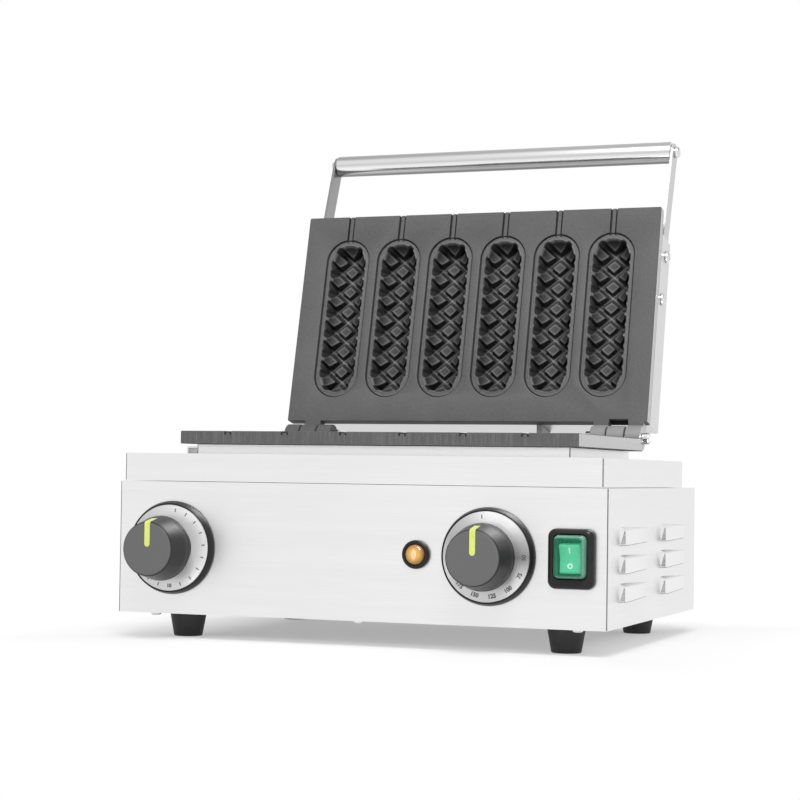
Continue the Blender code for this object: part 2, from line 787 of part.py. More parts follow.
def mould_cutter():
    """One waffle mould: a bed of raised diamonds between deep crossed channels."""
    slope = math.atan2(CHANNEL_STEP, CHANNEL_SIDE_STEP)
    reach = TROUGH_WIDTH / 2 / math.cos(slope) + CHANNEL_WIDTH
    channels = None
    for i in range(CHANNEL_CROSSINGS):
        middle = (i - (CHANNEL_CROSSINGS - 1) / 2) * CHANNEL_STEP
        for turn in both_sides([slope]):
            bar = block(
                "channel",
                (-reach, -CHANNEL_WIDTH / 2, -TROUGH_DEPTH - OVERRUN),
                (reach, CHANNEL_WIDTH / 2, 2 * OVERRUN + SEAT),
            )
            moved(bar, Matrix.Rotation(turn, 4, "Z"))
            shifted(bar, y=middle)
            channels = bar if channels is None else join(channels, bar)
    trough = loft("trough", [
        [(x, y, z) for x, y in stadium(width, length, MOULD_STEPS)]
        for width, length, z in (
            (TROUGH_FLOOR_WIDTH, TROUGH_LENGTH - TROUGH_WIDTH + TROUGH_FLOOR_WIDTH, -TROUGH_DEPTH),
            (TROUGH_WIDTH, TROUGH_LENGTH, 0),
            (TROUGH_WIDTH, TROUGH_LENGTH, OVERRUN),
        )
    ])
    bed = loft("bed", [
        [(x, y, z) for x, y in stadium(width, length, MOULD_STEPS)]
        for width, length, z in (
            (BED_FLOOR_WIDTH, BED_LENGTH - BED_WIDTH + BED_FLOOR_WIDTH, -BED_DEPTH),
            (BED_WIDTH, BED_LENGTH, 0),
            (BED_WIDTH, BED_LENGTH, 2 * OVERRUN),
        )
    ])
    combine(channels, trough, "INTERSECT")
    return join(channels, bed)


def row_of(cutter, z=0):
    """Repeat a cutter at every mould place."""
    copies = []
    for x in mould_places():
        copy = new_object("copy", cutter.data.copy())
        copies.append(shifted(copy, x=x, y=-MOULD_MIDDLE, z=z))
    bpy.data.objects.remove(cutter, do_unlink=True)
    return gathered("row", copies)


def plate_outline():
    corner = rounded(PLATE_WIDTH, PLATE_LENGTH, PLATE_CORNER, 2)
    middle = -HINGE_TO_PLATE - PLATE_LENGTH / 2
    return [(x, middle + y) for x, y in corner]


def hinge_lug(left, right):
    """A knuckle on the hinge axis with the web that joins it to the plate."""
    lug = shifted(along_x(rod("lug", BARREL_RADIUS, 0, right - left, COARSE)), x=left)
    web = block(
        "web",
        (left, -HINGE_TO_PLATE - OVERRUN, -BARREL_RADIUS + SEAT),
        (right, 0, -FACE_DROP),
    )
    return join(lug, web)


def bolt_places():
    return [(x, -MOULD_MIDDLE) for x in both_sides([BOLT_X])]


def mould_plate():
    """The casting that both plates share, with the fork of its hinge on the left."""
    casting = prism("casting", plate_outline(), -PLATE_BACK, -FACE_DROP)
    back = prism(
        "back",
        [(x, y - MOULD_MIDDLE) for x, y in rounded(
            2 * BLOCK_HALF_WIDTH, 2 * BLOCK_HALF_LENGTH, BLOCK_CORNER, CORNER_STEPS)],
        -BLOCK_DEPTH,
        -PLATE_BACK + OVERRUN,
    )
    join(casting, back)
    for left, right in (
        (-FORK_OUTER, -TONGUE_OUTER - TONGUE_GAP),
        (-TONGUE_INNER + TONGUE_GAP, -FORK_INNER),
        (TONGUE_INNER, TONGUE_OUTER),
    ):
        join(casting, hinge_lug(left, right))
    relief = block(
        "relief",
        (-TONGUE_OUTER - TONGUE_GAP, -HINGE_TO_PLATE - TONGUE_RELIEF, -PLATE_BACK - OVERRUN),
        (-TONGUE_INNER + TONGUE_GAP, OVERRUN - HINGE_TO_PLATE, OVERRUN),
    )
    pin_hole = shifted(
        along_x(rod("pin_hole", PIN_RADIUS + SEAT, 0, 2 * FORK_OUTER + 2 * OVERRUN, COARSE)),
        x=-FORK_OUTER - OVERRUN,
    )
    cut(casting, relief, pin_hole)
    recess = prism("recess", stadium(RECESS_WIDTH, RECESS_LENGTH, END_STEPS + 1), -RECESS_DEPTH, OVERRUN)
    cut(casting, row_of(recess, z=-FACE_DROP))
    front = HINGE_TO_PLATE + PLATE_LENGTH - MOULD_MIDDLE
    stick = rod("stick", STICK_RADIUS, RECESS_LENGTH / 2 - STICK_RADIUS, front + OVERRUN, SMALL)
    moved(stick, Matrix.Rotation(math.pi / SMALL, 4, "Z"))
    moved(stick, Matrix.Rotation(math.pi / 2, 4, "X"))
    cut(casting, row_of(stick, z=-FACE_DROP))
    cut(casting, row_of(mould_cutter(), z=-FACE_DROP - RECESS_DEPTH))
    for x, y in bolt_places():
        hole = rod("hole", BOLT_RADIUS + SEAT, -BLOCK_DEPTH - OVERRUN, BOLT_GRIP - BLOCK_DEPTH, SMALL)
        cut(casting, shifted(hole, x=x, y=y))
    return smooth(casting)


# Heating parts: modelled under the lower plate about the hinge axis


def heater_path():
    """Points of the element, which winds to and fro behind the moulds."""
    radius = HEATER_PITCH / 2
    points = []
    for run in range(HEATER_RUNS):
        x = (run - (HEATER_RUNS - 1) / 2) * HEATER_PITCH
        outgoing = run % 2 == 0
        start = HEATER_NEAR if run in (0, HEATER_RUNS - 1) else HEATER_NEAR + radius
        run_points = [(x, -start), (x, -HEATER_FAR)]
        points.extend(run_points if outgoing else reversed(run_points))
        if run == HEATER_RUNS - 1:
            break
        turn_y = -HEATER_FAR if outgoing else -HEATER_NEAR - radius
        sign = -1 if outgoing else 1
        for i in range(1, HEATER_TURN_STEPS):
            angle = math.pi * i / HEATER_TURN_STEPS
            points.append((
                x + radius - radius * math.cos(angle),
                turn_y + sign * radius * math.sin(angle),
            ))
    return points


def heater_curve():
    curve = bpy.data.curves.new("heater", "CURVE")
    curve.dimensions = "3D"
    curve.bevel_depth = HEATER_RADIUS
    curve.bevel_resolution = 1
    curve.use_fill_caps = True
    path = heater_path()
    spline = curve.splines.new("POLY")
    spline.points.add(len(path) - 1)
    for point, (x, y) in zip(spline.points, path):
        point.co = (x, y, -HEATER_LEVEL, 1)
    return curve


def pierced_sheet(name, margin, level, thickness, hole_radius):
    """A sheet behind the plate's block with a hole for each bolt."""
    half = BLOCK_HALF_WIDTH - margin
    reach = BLOCK_HALF_LENGTH - margin
    sheet = block(
        name,
        (-half, -MOULD_MIDDLE - reach, -level - thickness),
        (half, -MOULD_MIDDLE + reach, -level),
    )
    for x, y in bolt_places():
        hole = rod("hole", hole_radius, -level - thickness - OVERRUN, -level + OVERRUN, SMALL)
        cut(sheet, shifted(hole, x=x, y=y))
    return sheet


def plate_bolt(name, x, y):
    length = BOLT_LEVEL - BLOCK_DEPTH + BOLT_GRIP - OVERRUN
    bolt = pan_screw(name, BOLT_HEAD_RADIUS, BOLT_HEAD_HEIGHT, BOLT_RADIUS, length, SMALL)
    return shifted(bolt, x=x, y=y, z=-BOLT_LEVEL)


def heating_parts(prefix, casting, parent, place, turn):
    """A mould plate with its element, clamp, pad and bolts."""
    plate, heater, clamp, pad = (prefix + name for name in ("_plate", "_heater", "_clamp", "_pad"))
    finish(new_object(plate, casting.copy()), "cast_plate", parent, place, turn)
    finish(new_object(heater, heater_curve()), "dark_steel", parent, place, turn)
    sheet = pierced_sheet(clamp, CLAMP_MARGIN, CLAMP_LEVEL, CLAMP_THICKNESS, BOLT_RADIUS + SEAT)
    finish(sheet, "dark_steel", parent, place, turn)
    wool = pierced_sheet(pad, PAD_MARGIN, PAD_LEVEL, PAD_THICKNESS, BOLT_RADIUS + SEAT)
    finish(wool, "white_wool", parent, place, turn)
    for x, y in bolt_places():
        name = prefix + "_bolt_" + side_name(x * math.cos(turn[1]))
        finish(plate_bolt(name, x, y), "zinc_screw", parent, place, turn)


def thermostat_bulb(parent):
    """The sensing bulb, between the two middle runs of the element."""
    bulb = rod("thermostat_bulb", HEATER_RADIUS, -BULB_LENGTH / 2, BULB_LENGTH / 2, SMALL)
    outward(bulb)
    level = AXIS_Z - BLOCK_DEPTH - SEAT - HEATER_RADIUS
    finish(bulb, "dark_steel", parent, (0, AXIS_Y - MOULD_MIDDLE, level))


# Hinge pins


def hinge_pins(parent):
    """A headed pin for each hinge, with a nut on its inner end."""
    head = FORK_OUTER + SEAT
    tail = FORK_INNER - PIN_TAIL
    profile = [
        (0, tail),
        (PIN_RADIUS, tail),
        (PIN_RADIUS, head),
        (PIN_HEAD_RADIUS, head),
        (PIN_HEAD_RADIUS, head + PIN_HEAD_LENGTH * (1 - CROWN_share / 2)),
        (PIN_HEAD_RADIUS * CROWN_share, head + PIN_HEAD_LENGTH),
        (0, head + PIN_HEAD_LENGTH),
    ]
    for name, turn in (("hinge_pin_right", 0), ("hinge_pin_left", math.pi)):
        pin = along_x(turned(name, profile, COARSE))
        finish(pin, "zinc_screw", parent, (0, AXIS_Y, AXIS_Z), (0, 0, turn))
    nut_end = FORK_INNER - SEAT
    nut_profile = [
        (PIN_RADIUS + SEAT, nut_end - NUT_LENGTH),
        (NUT_RADIUS, nut_end - NUT_LENGTH),
        (NUT_RADIUS, nut_end),
        (PIN_RADIUS + SEAT, nut_end),
    ]
    for name, turn in (("hinge_nut_right", 0), ("hinge_nut_left", math.pi)):
        nut = along_x(turned(name, nut_profile, SMALL))
        finish(nut, "zinc_screw", parent, (0, AXIS_Y, AXIS_Z), (0, 0, turn))


# Lid: modelled closed about the hinge axis, and opened by the tilt of its empty


def lid_cover(parent):
    half = PLATE_WIDTH / 2
    cover = block("lid_cover", (-half, -COVER_TOP, COVER_RIM), (half, -COVER_BOTTOM, SHELL_BACK))
    inside = block(
        "inside",
        (SHEET - half, SHEET - COVER_TOP, COVER_RIM - OVERRUN),
        (half - SHEET, -COVER_BOTTOM - SHEET, SHELL_LEVEL),
    )
    cut(cover, inside)
    lean = math.tan(math.radians(ARM_LEAN))
    axis_z = ARM_START_DEPTH + (COVER_TOP - ARM_START) * lean
    reach = ARM_WIDTH / 2 + 2 * SEAT
    for side in (-1, 1):
        edges = sorted((side * (ARM_INNER_X - SEAT), side * (ARM_OUTER_X + SEAT)))
        cut(cover, block(
            "slot",
            (edges[0], -COVER_TOP - OVERRUN, axis_z - reach),
            (edges[1], SHEET + SEAT - COVER_TOP, min(axis_z + reach, SHELL_LEVEL)),
        ))
    for y, z in arm_screw_places():
        hole = along_x(rod("hole", SCREW_SHANK_RADIUS + SEAT, -half - OVERRUN, half + OVERRUN, SMALL))
        cut(cover, shifted(hole, y=y, z=z))
    for x, y in bolt_places():
        hole = rod("hole", BOLT_RADIUS + SEAT, SHELL_LEVEL - OVERRUN, SHELL_BACK + OVERRUN, SMALL)
        cut(cover, shifted(hole, x=x, y=y))
    hole = rod("hole", GLAND_NECK_RADIUS + SEAT, SHELL_LEVEL - OVERRUN, SHELL_BACK + OVERRUN, COARSE)
    cut(cover, shifted(hole, x=-LID_GLAND_X, y=-LID_GLAND_UP))
    finish(cover, "brushed_steel", parent)


def along_arm(distance):
    """A point on the arm's middle line, counted from its lower end."""
    lean = math.radians(ARM_LEAN)
    return (
        -ARM_START - distance * math.cos(lean),
        ARM_START_DEPTH + distance * math.sin(lean),
    )


def arm_screw_places():
    return [along_arm(ARM_SCREW_NEAR), along_arm(ARM_SCREW_FAR)]


def arm(name, side, parent):
    """A flat strap with round ends and three screw holes."""
    length = ARM_LENGTH + ARM_WIDTH / 2
    outline = [(x, y - length / 2) for x, y in stadium(ARM_WIDTH, length, END_STEPS)]
    strap = prism(name, outline, -ARM_THICKNESS / 2, ARM_THICKNESS / 2)
    for distance, radius in (
        (ARM_SCREW_NEAR, SCREW_SHANK_RADIUS),
        (ARM_SCREW_FAR, SCREW_SHANK_RADIUS),
        (ARM_LENGTH, HANDLE_ROD_RADIUS),
    ):
        hole = rod("hole", radius + SEAT, -ARM_THICKNESS, ARM_THICKNESS, SMALL)
        cut(strap, shifted(hole, y=-distance))
    moved(strap, Matrix.Rotation(math.pi / 2, 4, "Y"))
    moved(strap, Matrix.Rotation(math.radians(-ARM_LEAN), 4, "X"))
    middle = side * (ARM_INNER_X + ARM_THICKNESS / 2)
    finish(strap, "brushed_steel", parent, (middle, -ARM_START, ARM_START_DEPTH))


def arm_screws(parent):
    """Two screws through the cover and each arm."""
    head = PLATE_WIDTH / 2 + SEAT
    length = head - ARM_INNER_X + ARM_THICKNESS
    for level, (y, z) in zip(("lower", "upper"), arm_screw_places()):
        for side in (-1, 1):
            name = "arm_screw_" + level + "_" + side_name(side)
            screw = pan_screw(
                name, SCREW_HEAD_RADIUS, SCREW_HEAD_HEIGHT, SCREW_SHANK_RADIUS, length, SMALL)
            shifted(screw, z=-head)
            moved(screw, Matrix.Rotation(-side * math.pi / 2, 4, "Y"))
            finish(screw, "zinc_screw", parent, (0, y, z))


def handle(parent):
    """The handle tube between the arms, on a rod that a cap nut closes."""
    place = (0, -HANDLE_UP, HANDLE_DEPTH)
    half = ARM_INNER_X - SEAT
    bore = HANDLE_ROD_RADIUS + SEAT
    hollow = HANDLE_RADIUS - HANDLE_WALL
    tube = along_x(turned("handle_tube", [
        (bore, -half),
        (HANDLE_RADIUS, -half),
        (HANDLE_RADIUS, half),
        (bore, half),
        (bore, half - HANDLE_END),
        (hollow, half - HANDLE_END),
        (hollow, HANDLE_END - half),
        (bore, HANDLE_END - half),
    ], ROUND))
    finish(tube, "polished_steel", parent, place)
    head = ARM_OUTER_X + SEAT
    tip = head + HANDLE_NUT_HEIGHT / 2
    rod_body = along_x(shifted(pan_screw(
        "handle_rod", SCREW_HEAD_RADIUS, HANDLE_NUT_HEIGHT, HANDLE_ROD_RADIUS, head + tip, SMALL,
    ), z=-head))
    finish(rod_body, "zinc_screw", parent, place)
    nut = along_x(turned("handle_nut", [
        (bore, head),
        (SCREW_HEAD_RADIUS, head),
        (SCREW_HEAD_RADIUS, head + HANDLE_NUT_HEIGHT * (1 - CROWN_share)),
        (SCREW_HEAD_RADIUS * CROWN_share, head + HANDLE_NUT_HEIGHT),
        (0, head + HANDLE_NUT_HEIGHT),
        (0, tip + SEAT),
        (bore, tip + SEAT),
    ], SMALL))
    finish(nut, "zinc_screw", parent, place)


# Stop bracket


def stop_bracket(parent):
    """A bent strap on the casing's rear ledge; its sloped top carries the open lid."""
    left = BRACKET_X - BRACKET_THICKNESS / 2
    right = BRACKET_X + BRACKET_THICKNESS / 2

    def top_at(y):
        """Height of the open lid cover's lower wall above the bracket."""
        reach = (y - AXIS_Y - COVER_BOTTOM * LEAN_SIN) / LEAN_COS
        return AXIS_Z + COVER_BOTTOM * LEAN_COS - reach * LEAN_SIN - SEAT / LEAN_COS

    low = CASE_TOP + SEAT
    outline = [
        (BRACKET_FRONT, low),
        (BRACKET_REAR, low),
        (BRACKET_REAR, top_at(BRACKET_REAR)),
        (BRACKET_FRONT, top_at(BRACKET_FRONT)),
    ]
    bracket = side_prism("stop_bracket", outline, left, right)
    foot = block(
        "foot",
        (right - OVERRUN, BRACKET_FRONT, low),
        (right + BRACKET_FOOT, BRACKET_REAR, low + BRACKET_FOOT_THICKNESS),
    )
    join(bracket, foot)
    finish(bracket, "brushed_steel", parent)


# Controls: modelled along Z, which points out of the front panel


def dial(prefix, x, standoff, parent):
    """The still parts of one dial, and its knob on the empty that it turns about."""
    lean = (math.pi / 2, 0, 0)
    place = (x, 0, DIAL_Z)
    bezel(prefix + "_bezel", place, lean, parent)
    scale_ring(prefix + "_scale", place, lean, parent)
    works(prefix + "_works", place, lean, parent)
    turning = empty(prefix + "_axis", (x, -standoff, DIAL_Z), parent, math.pi / 2)
    knob(prefix + "_knob", turning)
    shaft = rod(prefix + "_shaft", SHAFT_RADIUS, -SHAFT_INTO_WORKS - standoff, SHAFT_INTO_KNOB, COARSE)
    finish(shaft, "zinc_screw", turning)
    pointer(prefix + "_pointer", turning)


def bezel(name, place, lean, parent):
    seat_level = BEZEL_DEPTH - SCALE_SINK - SCALE_THICKNESS - SEAT
    bore = BUSH_RADIUS + SEAT
    ring = turned(name, [
        (bore, SEAT),
        (BEZEL_RADIUS, SEAT),
        (BEZEL_RADIUS, BEZEL_RIM),
        (BEZEL_RADIUS - BEZEL_SLOPE, BEZEL_DEPTH),
        (SCALE_OUTER_RADIUS + SEAT, BEZEL_DEPTH),
        (SCALE_OUTER_RADIUS + SEAT, seat_level),
        (SCALE_INNER_RADIUS - SEAT, seat_level),
        (SCALE_INNER_RADIUS - SEAT, BEZEL_DEPTH),
        (bore, BEZEL_DEPTH),
    ], FINE)
    finish(ring, "black_plastic", parent, place, lean)


def scale_ring(name, place, lean, parent):
    low = BEZEL_DEPTH - SCALE_SINK - SCALE_THICKNESS
    ring = turned(name, [
        (SCALE_INNER_RADIUS, low),
        (SCALE_OUTER_RADIUS, low),
        (SCALE_OUTER_RADIUS, low + SCALE_THICKNESS),
        (SCALE_INNER_RADIUS, low + SCALE_THICKNESS),
    ], FINE)
    finish(ring, "scale_metal", parent, place, lean)


def works(name, place, lean, parent):
    """The timer or thermostat behind the panel, with its threaded bush."""
    back = -SHEET - SEAT
    outline = rounded(WORKS_WIDTH, WORKS_WIDTH, WORKS_CORNER, 1)
    body = prism(name, outline, back - WORKS_DEPTH, back)
    bush = rod("bush", BUSH_RADIUS, back - OVERRUN, BUSH_LENGTH, COARSE)
    bore = rod("bore", SHAFT_RADIUS + SEAT, -SHAFT_INTO_WORKS - SEAT, BUSH_LENGTH + OVERRUN, COARSE)
    join(body, bush)
    cut(body, bore)
    finish(body, "grey_plastic", parent, place, lean)


def knob_slope(height):
    """Radius of the knob's tapered side at a height above its back."""
    share = (height - KNOB_SKIRT) / (KNOB_LENGTH - KNOB_SKIRT)
    return KNOB_BASE_RADIUS + (KNOB_FACE_RADIUS - KNOB_BASE_RADIUS) * share


def pointer_outline(sink, rise):
    """Side view of the pointer line, over the knob's face and down its side."""
    edge = knob_slope(KNOB_LENGTH)
    low = KNOB_LENGTH - POINTER_DROP
    return [
        (POINTER_START, KNOB_LENGTH - sink),
        (edge - sink, KNOB_LENGTH - sink),
        (knob_slope(low) - sink, low),
        (knob_slope(low) + rise, low),
        (edge + rise, KNOB_LENGTH - KNOB_EDGE),
        (edge - KNOB_EDGE, KNOB_LENGTH + rise),
        (POINTER_START, KNOB_LENGTH + rise),
    ]


def knob(name, parent):
    bore = SHAFT_RADIUS + SEAT
    inner = SHAFT_INTO_KNOB + SEAT
    body = turned(name, [
        (0, inner),
        (bore, inner),
        (bore, 0),
        (KNOB_BASE_RADIUS, 0),
        (KNOB_BASE_RADIUS, KNOB_SKIRT),
        (knob_slope(KNOB_LENGTH - KNOB_EDGE), KNOB_LENGTH - KNOB_EDGE),
        (KNOB_FACE_RADIUS - KNOB_EDGE, KNOB_LENGTH),
        (0, KNOB_LENGTH),
    ], FINE)
    wide = POINTER_WIDTH / 2 + SEAT
    groove = side_prism("groove", pointer_outline(POINTER_DEPTH + SEAT, OVERRUN), -wide, wide)
    shifted(groove, y=-SEAT)
    cut(body, groove)
    finish(body, "black_plastic", parent)


def pointer(name, parent):
    half = POINTER_WIDTH / 2
    line = side_prism(name, pointer_outline(POINTER_DEPTH, POINTER_PROUD), -half, half)
    finish(line, "pointer_paint", parent)


def lamp(parent):
    lean = (math.pi / 2, 0, 0)
    place = (LAMP_X, 0, DIAL_Z)
    floor = LAMP_FLANGE_DEPTH - LENS_SINK
    housing = turned("lamp_bezel", [
        (0, -LAMP_NECK_LENGTH),
        (LAMP_NECK_RADIUS, -LAMP_NECK_LENGTH),
        (LAMP_NECK_RADIUS, SEAT),
        (LAMP_FLANGE_RADIUS, SEAT),
        (LAMP_FLANGE_RADIUS, LAMP_FLANGE_DEPTH * (1 - CROWN_share / 2)),
        (LAMP_NECK_RADIUS, LAMP_FLANGE_DEPTH),
        (LENS_RADIUS + SEAT, LAMP_FLANGE_DEPTH),
        (LENS_RADIUS + SEAT, floor),
        (0, floor),
    ], ROUND)
    finish(housing, "black_plastic", parent, place, lean)
    rim = LAMP_FLANGE_DEPTH
    lens = turned("lamp_lens", [
        (0, floor + SEAT),
        (LENS_RADIUS, floor + SEAT),
        (LENS_RADIUS, rim),
        (LENS_RADIUS * GLAND_TIP_share, rim + LENS_RISE * CROWN_share),
        (LENS_RADIUS * (1 - CROWN_share), rim + LENS_RISE),
        (0, rim + LENS_RISE),
    ], ROUND)
    finish(lens, "amber_lens", parent, place, lean)


def switch_frame(place, lean, parent):
    def loop(inset, level):
        corner = SWITCH_CORNER - inset
        outline = rounded(SWITCH_WIDTH - 2 * inset, SWITCH_HEIGHT - 2 * inset, corner, CORNER_STEPS)
        return [(x, y, level) for x, y in outline]

    frame = loft("switch_frame", [
        loop(0, SEAT),
        loop(SWITCH_DRAFT, SWITCH_SHOULDER),
        loop(SWITCH_BEVEL, SWITCH_FRAME_DEPTH),
    ])
    opening = rounded(BOOT_WIDTH + 2 * SEAT, BOOT_HEIGHT + 2 * SEAT, BOOT_CORNER, 2)
    raised = [(x, y + BOOT_RISE) for x, y in opening]
    cut(frame, prism("opening", raised, SEAT - OVERRUN, SWITCH_FRAME_DEPTH + OVERRUN))
    finish(frame, "black_plastic", parent, place, lean)


def boot_body(name, inset, low, high):
    """The boot's outer or inner shape, drawn in towards its crown."""
    wide = BOOT_WIDTH - 2 * inset
    tall = BOOT_HEIGHT - 2 * inset
    base = rounded(wide, tall, BOOT_CORNER - inset, 2)
    shoulder = SWITCH_FRAME_DEPTH
    return loft(name, [
        [(x, y, low) for x, y in base],
        [(x, y, shoulder) for x, y in base],
        [(x * BOOT_CROWN_share, y * BOOT_CROWN_share, high) for x, y in base],
    ])


def switch(parent):
    """Frame, clear boot and body stay still; the rocker tilts about its own empty."""
    lean = (math.pi / 2, 0, 0)
    switch_frame((SWITCH_X, 0, DIAL_Z), lean, parent)
    place = (SWITCH_X, 0, DIAL_Z + BOOT_RISE)
    boot = boot_body("switch_boot", 0, SEAT, BOOT_DEPTH)
    cut(boot, boot_body("inside", BOOT_WALL, SEAT - OVERRUN, BOOT_DEPTH - BOOT_WALL))
    finish(boot, "green_boot", parent, place, lean)
    half_width = BOOT_WIDTH / 2
    half_height = BOOT_HEIGHT / 2
    body = block(
        "switch_body",
        (-half_width, -half_height, -SWITCH_BODY_DEPTH),
        (half_width, half_height, 0),
    )
    pocket_width = ROCKER_WIDTH / 2 + POCKET_CLEARANCE
    pocket_height = ROCKER_TIP_HEIGHT + POCKET_CLEARANCE
    cut(body, block(
        "pocket",
        (-pocket_width, -pocket_height, -POCKET_DEPTH),
        (pocket_width, pocket_height, OVERRUN),
    ))
    finish(body, "black_plastic", parent, place, lean)
    pivot = empty("rocker_axis", (SWITCH_X, ROCKER_PIVOT, DIAL_Z + BOOT_RISE), parent)
    pivot.rotation_euler = (math.pi / 2 + math.radians(ROCKER_TILT), 0, 0)
    outline = [
        (-ROCKER_ROOT_HEIGHT, -ROCKER_ROOT_DROP),
        (ROCKER_ROOT_HEIGHT, -ROCKER_ROOT_DROP),
        (ROCKER_TIP_HEIGHT, ROCKER_TIP_RISE),
        (0, ROCKER_DIP_RISE),
        (-ROCKER_TIP_HEIGHT, ROCKER_TIP_RISE),
    ]
    rocker = side_prism("switch_rocker", outline, -ROCKER_WIDTH / 2, ROCKER_WIDTH / 2)
    finish(rocker, "green_rocker", pivot)


# Parts at the back


def gland(name):
    """A cable gland along Z with its flange on the wall at zero and its neck inside."""
    return turned(name, [
        (GLAND_BORE_RADIUS, -SHEET - GLAND_REACH),
        (GLAND_NECK_RADIUS, -SHEET - GLAND_REACH),
        (GLAND_NECK_RADIUS, SEAT),
        (GLAND_RADIUS, SEAT),
        (GLAND_RADIUS, GLAND_FLANGE),
        (GLAND_NECK_RADIUS, GLAND_LENGTH),
        (GLAND_BORE_RADIUS, GLAND_LENGTH),
    ], COARSE)


def glands(parent, lid):
    back = (-math.pi / 2, 0, 0)
    mains = (GLAND_X, CASE_DEPTH, MAINS_GLAND_Z)
    finish(gland("mains_gland"), "black_plastic", parent, mains, back)
    lead = (-GLAND_X, CASE_DEPTH, LEAD_GLAND_Z)
    finish(gland("lead_gland"), "black_plastic", parent, lead, back)
    finish(gland("lid_gland"), "black_plastic", lid, (-LID_GLAND_X, -LID_GLAND_UP, SHELL_BACK))


def terminal_block(parent):
    low = CASE_BOTTOM + SHEET + SEAT
    far = CASE_DEPTH - SHEET - CASE_FLANGE - SEAT
    middle = far - TERMINAL_DEPTH / 2
    body = block(
        "terminal_block",
        (TERMINAL_X - TERMINAL_WIDTH / 2, far - TERMINAL_DEPTH, low),
        (TERMINAL_X + TERMINAL_WIDTH / 2, far, low + TERMINAL_HEIGHT),
    )
    for i in range(TERMINAL_POSTS):
        x = TERMINAL_X + (i - (TERMINAL_POSTS - 1) / 2) * TERMINAL_WIDTH / TERMINAL_POSTS
        post = rod("post", TERMINAL_POST_RADIUS, -OVERRUN, TERMINAL_POST_HEIGHT, SMALL)
        join(body, shifted(post, x=x, y=middle, z=low + TERMINAL_HEIGHT))
    finish(body, "grey_plastic", parent)


def build():
    clear_scene()
    machine = empty("machine", (0, -MIDDLE_Y, 0))
    lid = empty("lid_axis", (0, AXIS_Y, AXIS_Z), machine, math.radians(-90 - LID_LEAN))
    base_casing(machine)
    bottom_plate(machine)
    feet(machine)
    deck_tray(machine)
    collar(machine)
    reflector_tray(machine)
    casting = mould_plate()
    heating_parts("lower", casting.data, machine, (0, AXIS_Y, AXIS_Z), (0, 0, 0))
    heating_parts("upper", casting.data, lid, (0, 0, 0), (0, math.pi, 0))
    bpy.data.objects.remove(casting, do_unlink=True)
    thermostat_bulb(machine)
    hinge_pins(machine)
    lid_cover(lid)
    arm("arm_left", -1, lid)
    arm("arm_right", 1, lid)
    arm_screws(lid)
    handle(lid)
    stop_bracket(machine)
    dial("timer", TIMER_X, TIMER_KNOB_STANDOFF, machine)
    dial("thermostat", THERMOSTAT_X, THERMOSTAT_KNOB_STANDOFF, machine)
    lamp(machine)
    switch(machine)
    glands(machine, lid)
    terminal_block(machine)


build()
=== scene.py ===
import math

import bmesh
import bpy
from mathutils import Matrix, Vector


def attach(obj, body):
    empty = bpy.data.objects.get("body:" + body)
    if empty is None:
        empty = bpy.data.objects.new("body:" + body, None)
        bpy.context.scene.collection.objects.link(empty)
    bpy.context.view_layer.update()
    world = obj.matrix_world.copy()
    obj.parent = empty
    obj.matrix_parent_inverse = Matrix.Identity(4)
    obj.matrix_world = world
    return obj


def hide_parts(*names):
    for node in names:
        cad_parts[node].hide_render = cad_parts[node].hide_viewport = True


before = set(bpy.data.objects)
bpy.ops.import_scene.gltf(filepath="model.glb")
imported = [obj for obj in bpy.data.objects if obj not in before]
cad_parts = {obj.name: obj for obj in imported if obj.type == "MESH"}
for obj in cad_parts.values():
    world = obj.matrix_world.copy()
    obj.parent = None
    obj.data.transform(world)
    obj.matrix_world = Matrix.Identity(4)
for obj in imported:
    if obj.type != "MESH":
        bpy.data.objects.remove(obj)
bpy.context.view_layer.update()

# Lengths are in millimetres and become metres when a mesh is made; angles are in degrees.
# X runs left to right, Y from the control panel to the back, and Z up from the table.
MM = 0.001

# Places shared by the pieces
PANEL_Y = -136.395
HINGE_Y = 73.555
HINGE_Z = 140.45
LID_LEAN = 13.5
DIAL_Z = 61.2
TIMER_X = -130.5
THERMOSTAT_X = 92.5
LAMP_X = 44.0
TIMER_STANDOFF = 16.1
THERMOSTAT_STANDOFF = 12.0
KNOB_LENGTH = 20.5
KNOB_RADIUS = 21.5
KNOB_TOP_RADIUS = 17.7
KNOB_FOOT = 2.4
KNOB_ROUND = 1.6
LINE_START = 1.5
LINE_HALF = 1.9
SCALE_FACE = 5.4
MARK_RADIUS = 25.4
NUMBER_RADIUS = 25.1
SWITCH_X = 147.5
BOOT_Z = DIAL_Z + 1.4
BOOT_SIZE = (20.6, 27.0, 3.0)
KEY_HOLLOW = 8.4
KEY_RISE = 1.4
KEY_HALF = 7.4
ROCKER_LEAN = 98.0
FOOT_X = 134.5
FOOT_ENDS = (("front", 34.0), ("rear", 219.0))
BOTTOM_Z = 17.0
HANDLE_UP = 237.0
HANDLE_DEEP = 37.03
HANDLE_HALF = 138.2
ROD_HALF = 140.8
ARM_X = 142.3
ARM_LEAN = 8.5
ARM_FOOT = (103.0, 17.0)
ARM_SCREWS = (("lower", 9.0), ("upper", 44.5))
PIN_X = 97.0
BRACKET_X = 69.0
BRACKET_Z = 108.8
WALL_X = 170.0
LOUVRE_FRONTS = (42.5, 152.5)
LOUVRE_LONG = 61.0
LOUVRE_LEAD = 11.5
LOUVRE_LEVELS = (38.6, 56.6, 74.6)
SIDES = (("left", -1), ("right", 1))

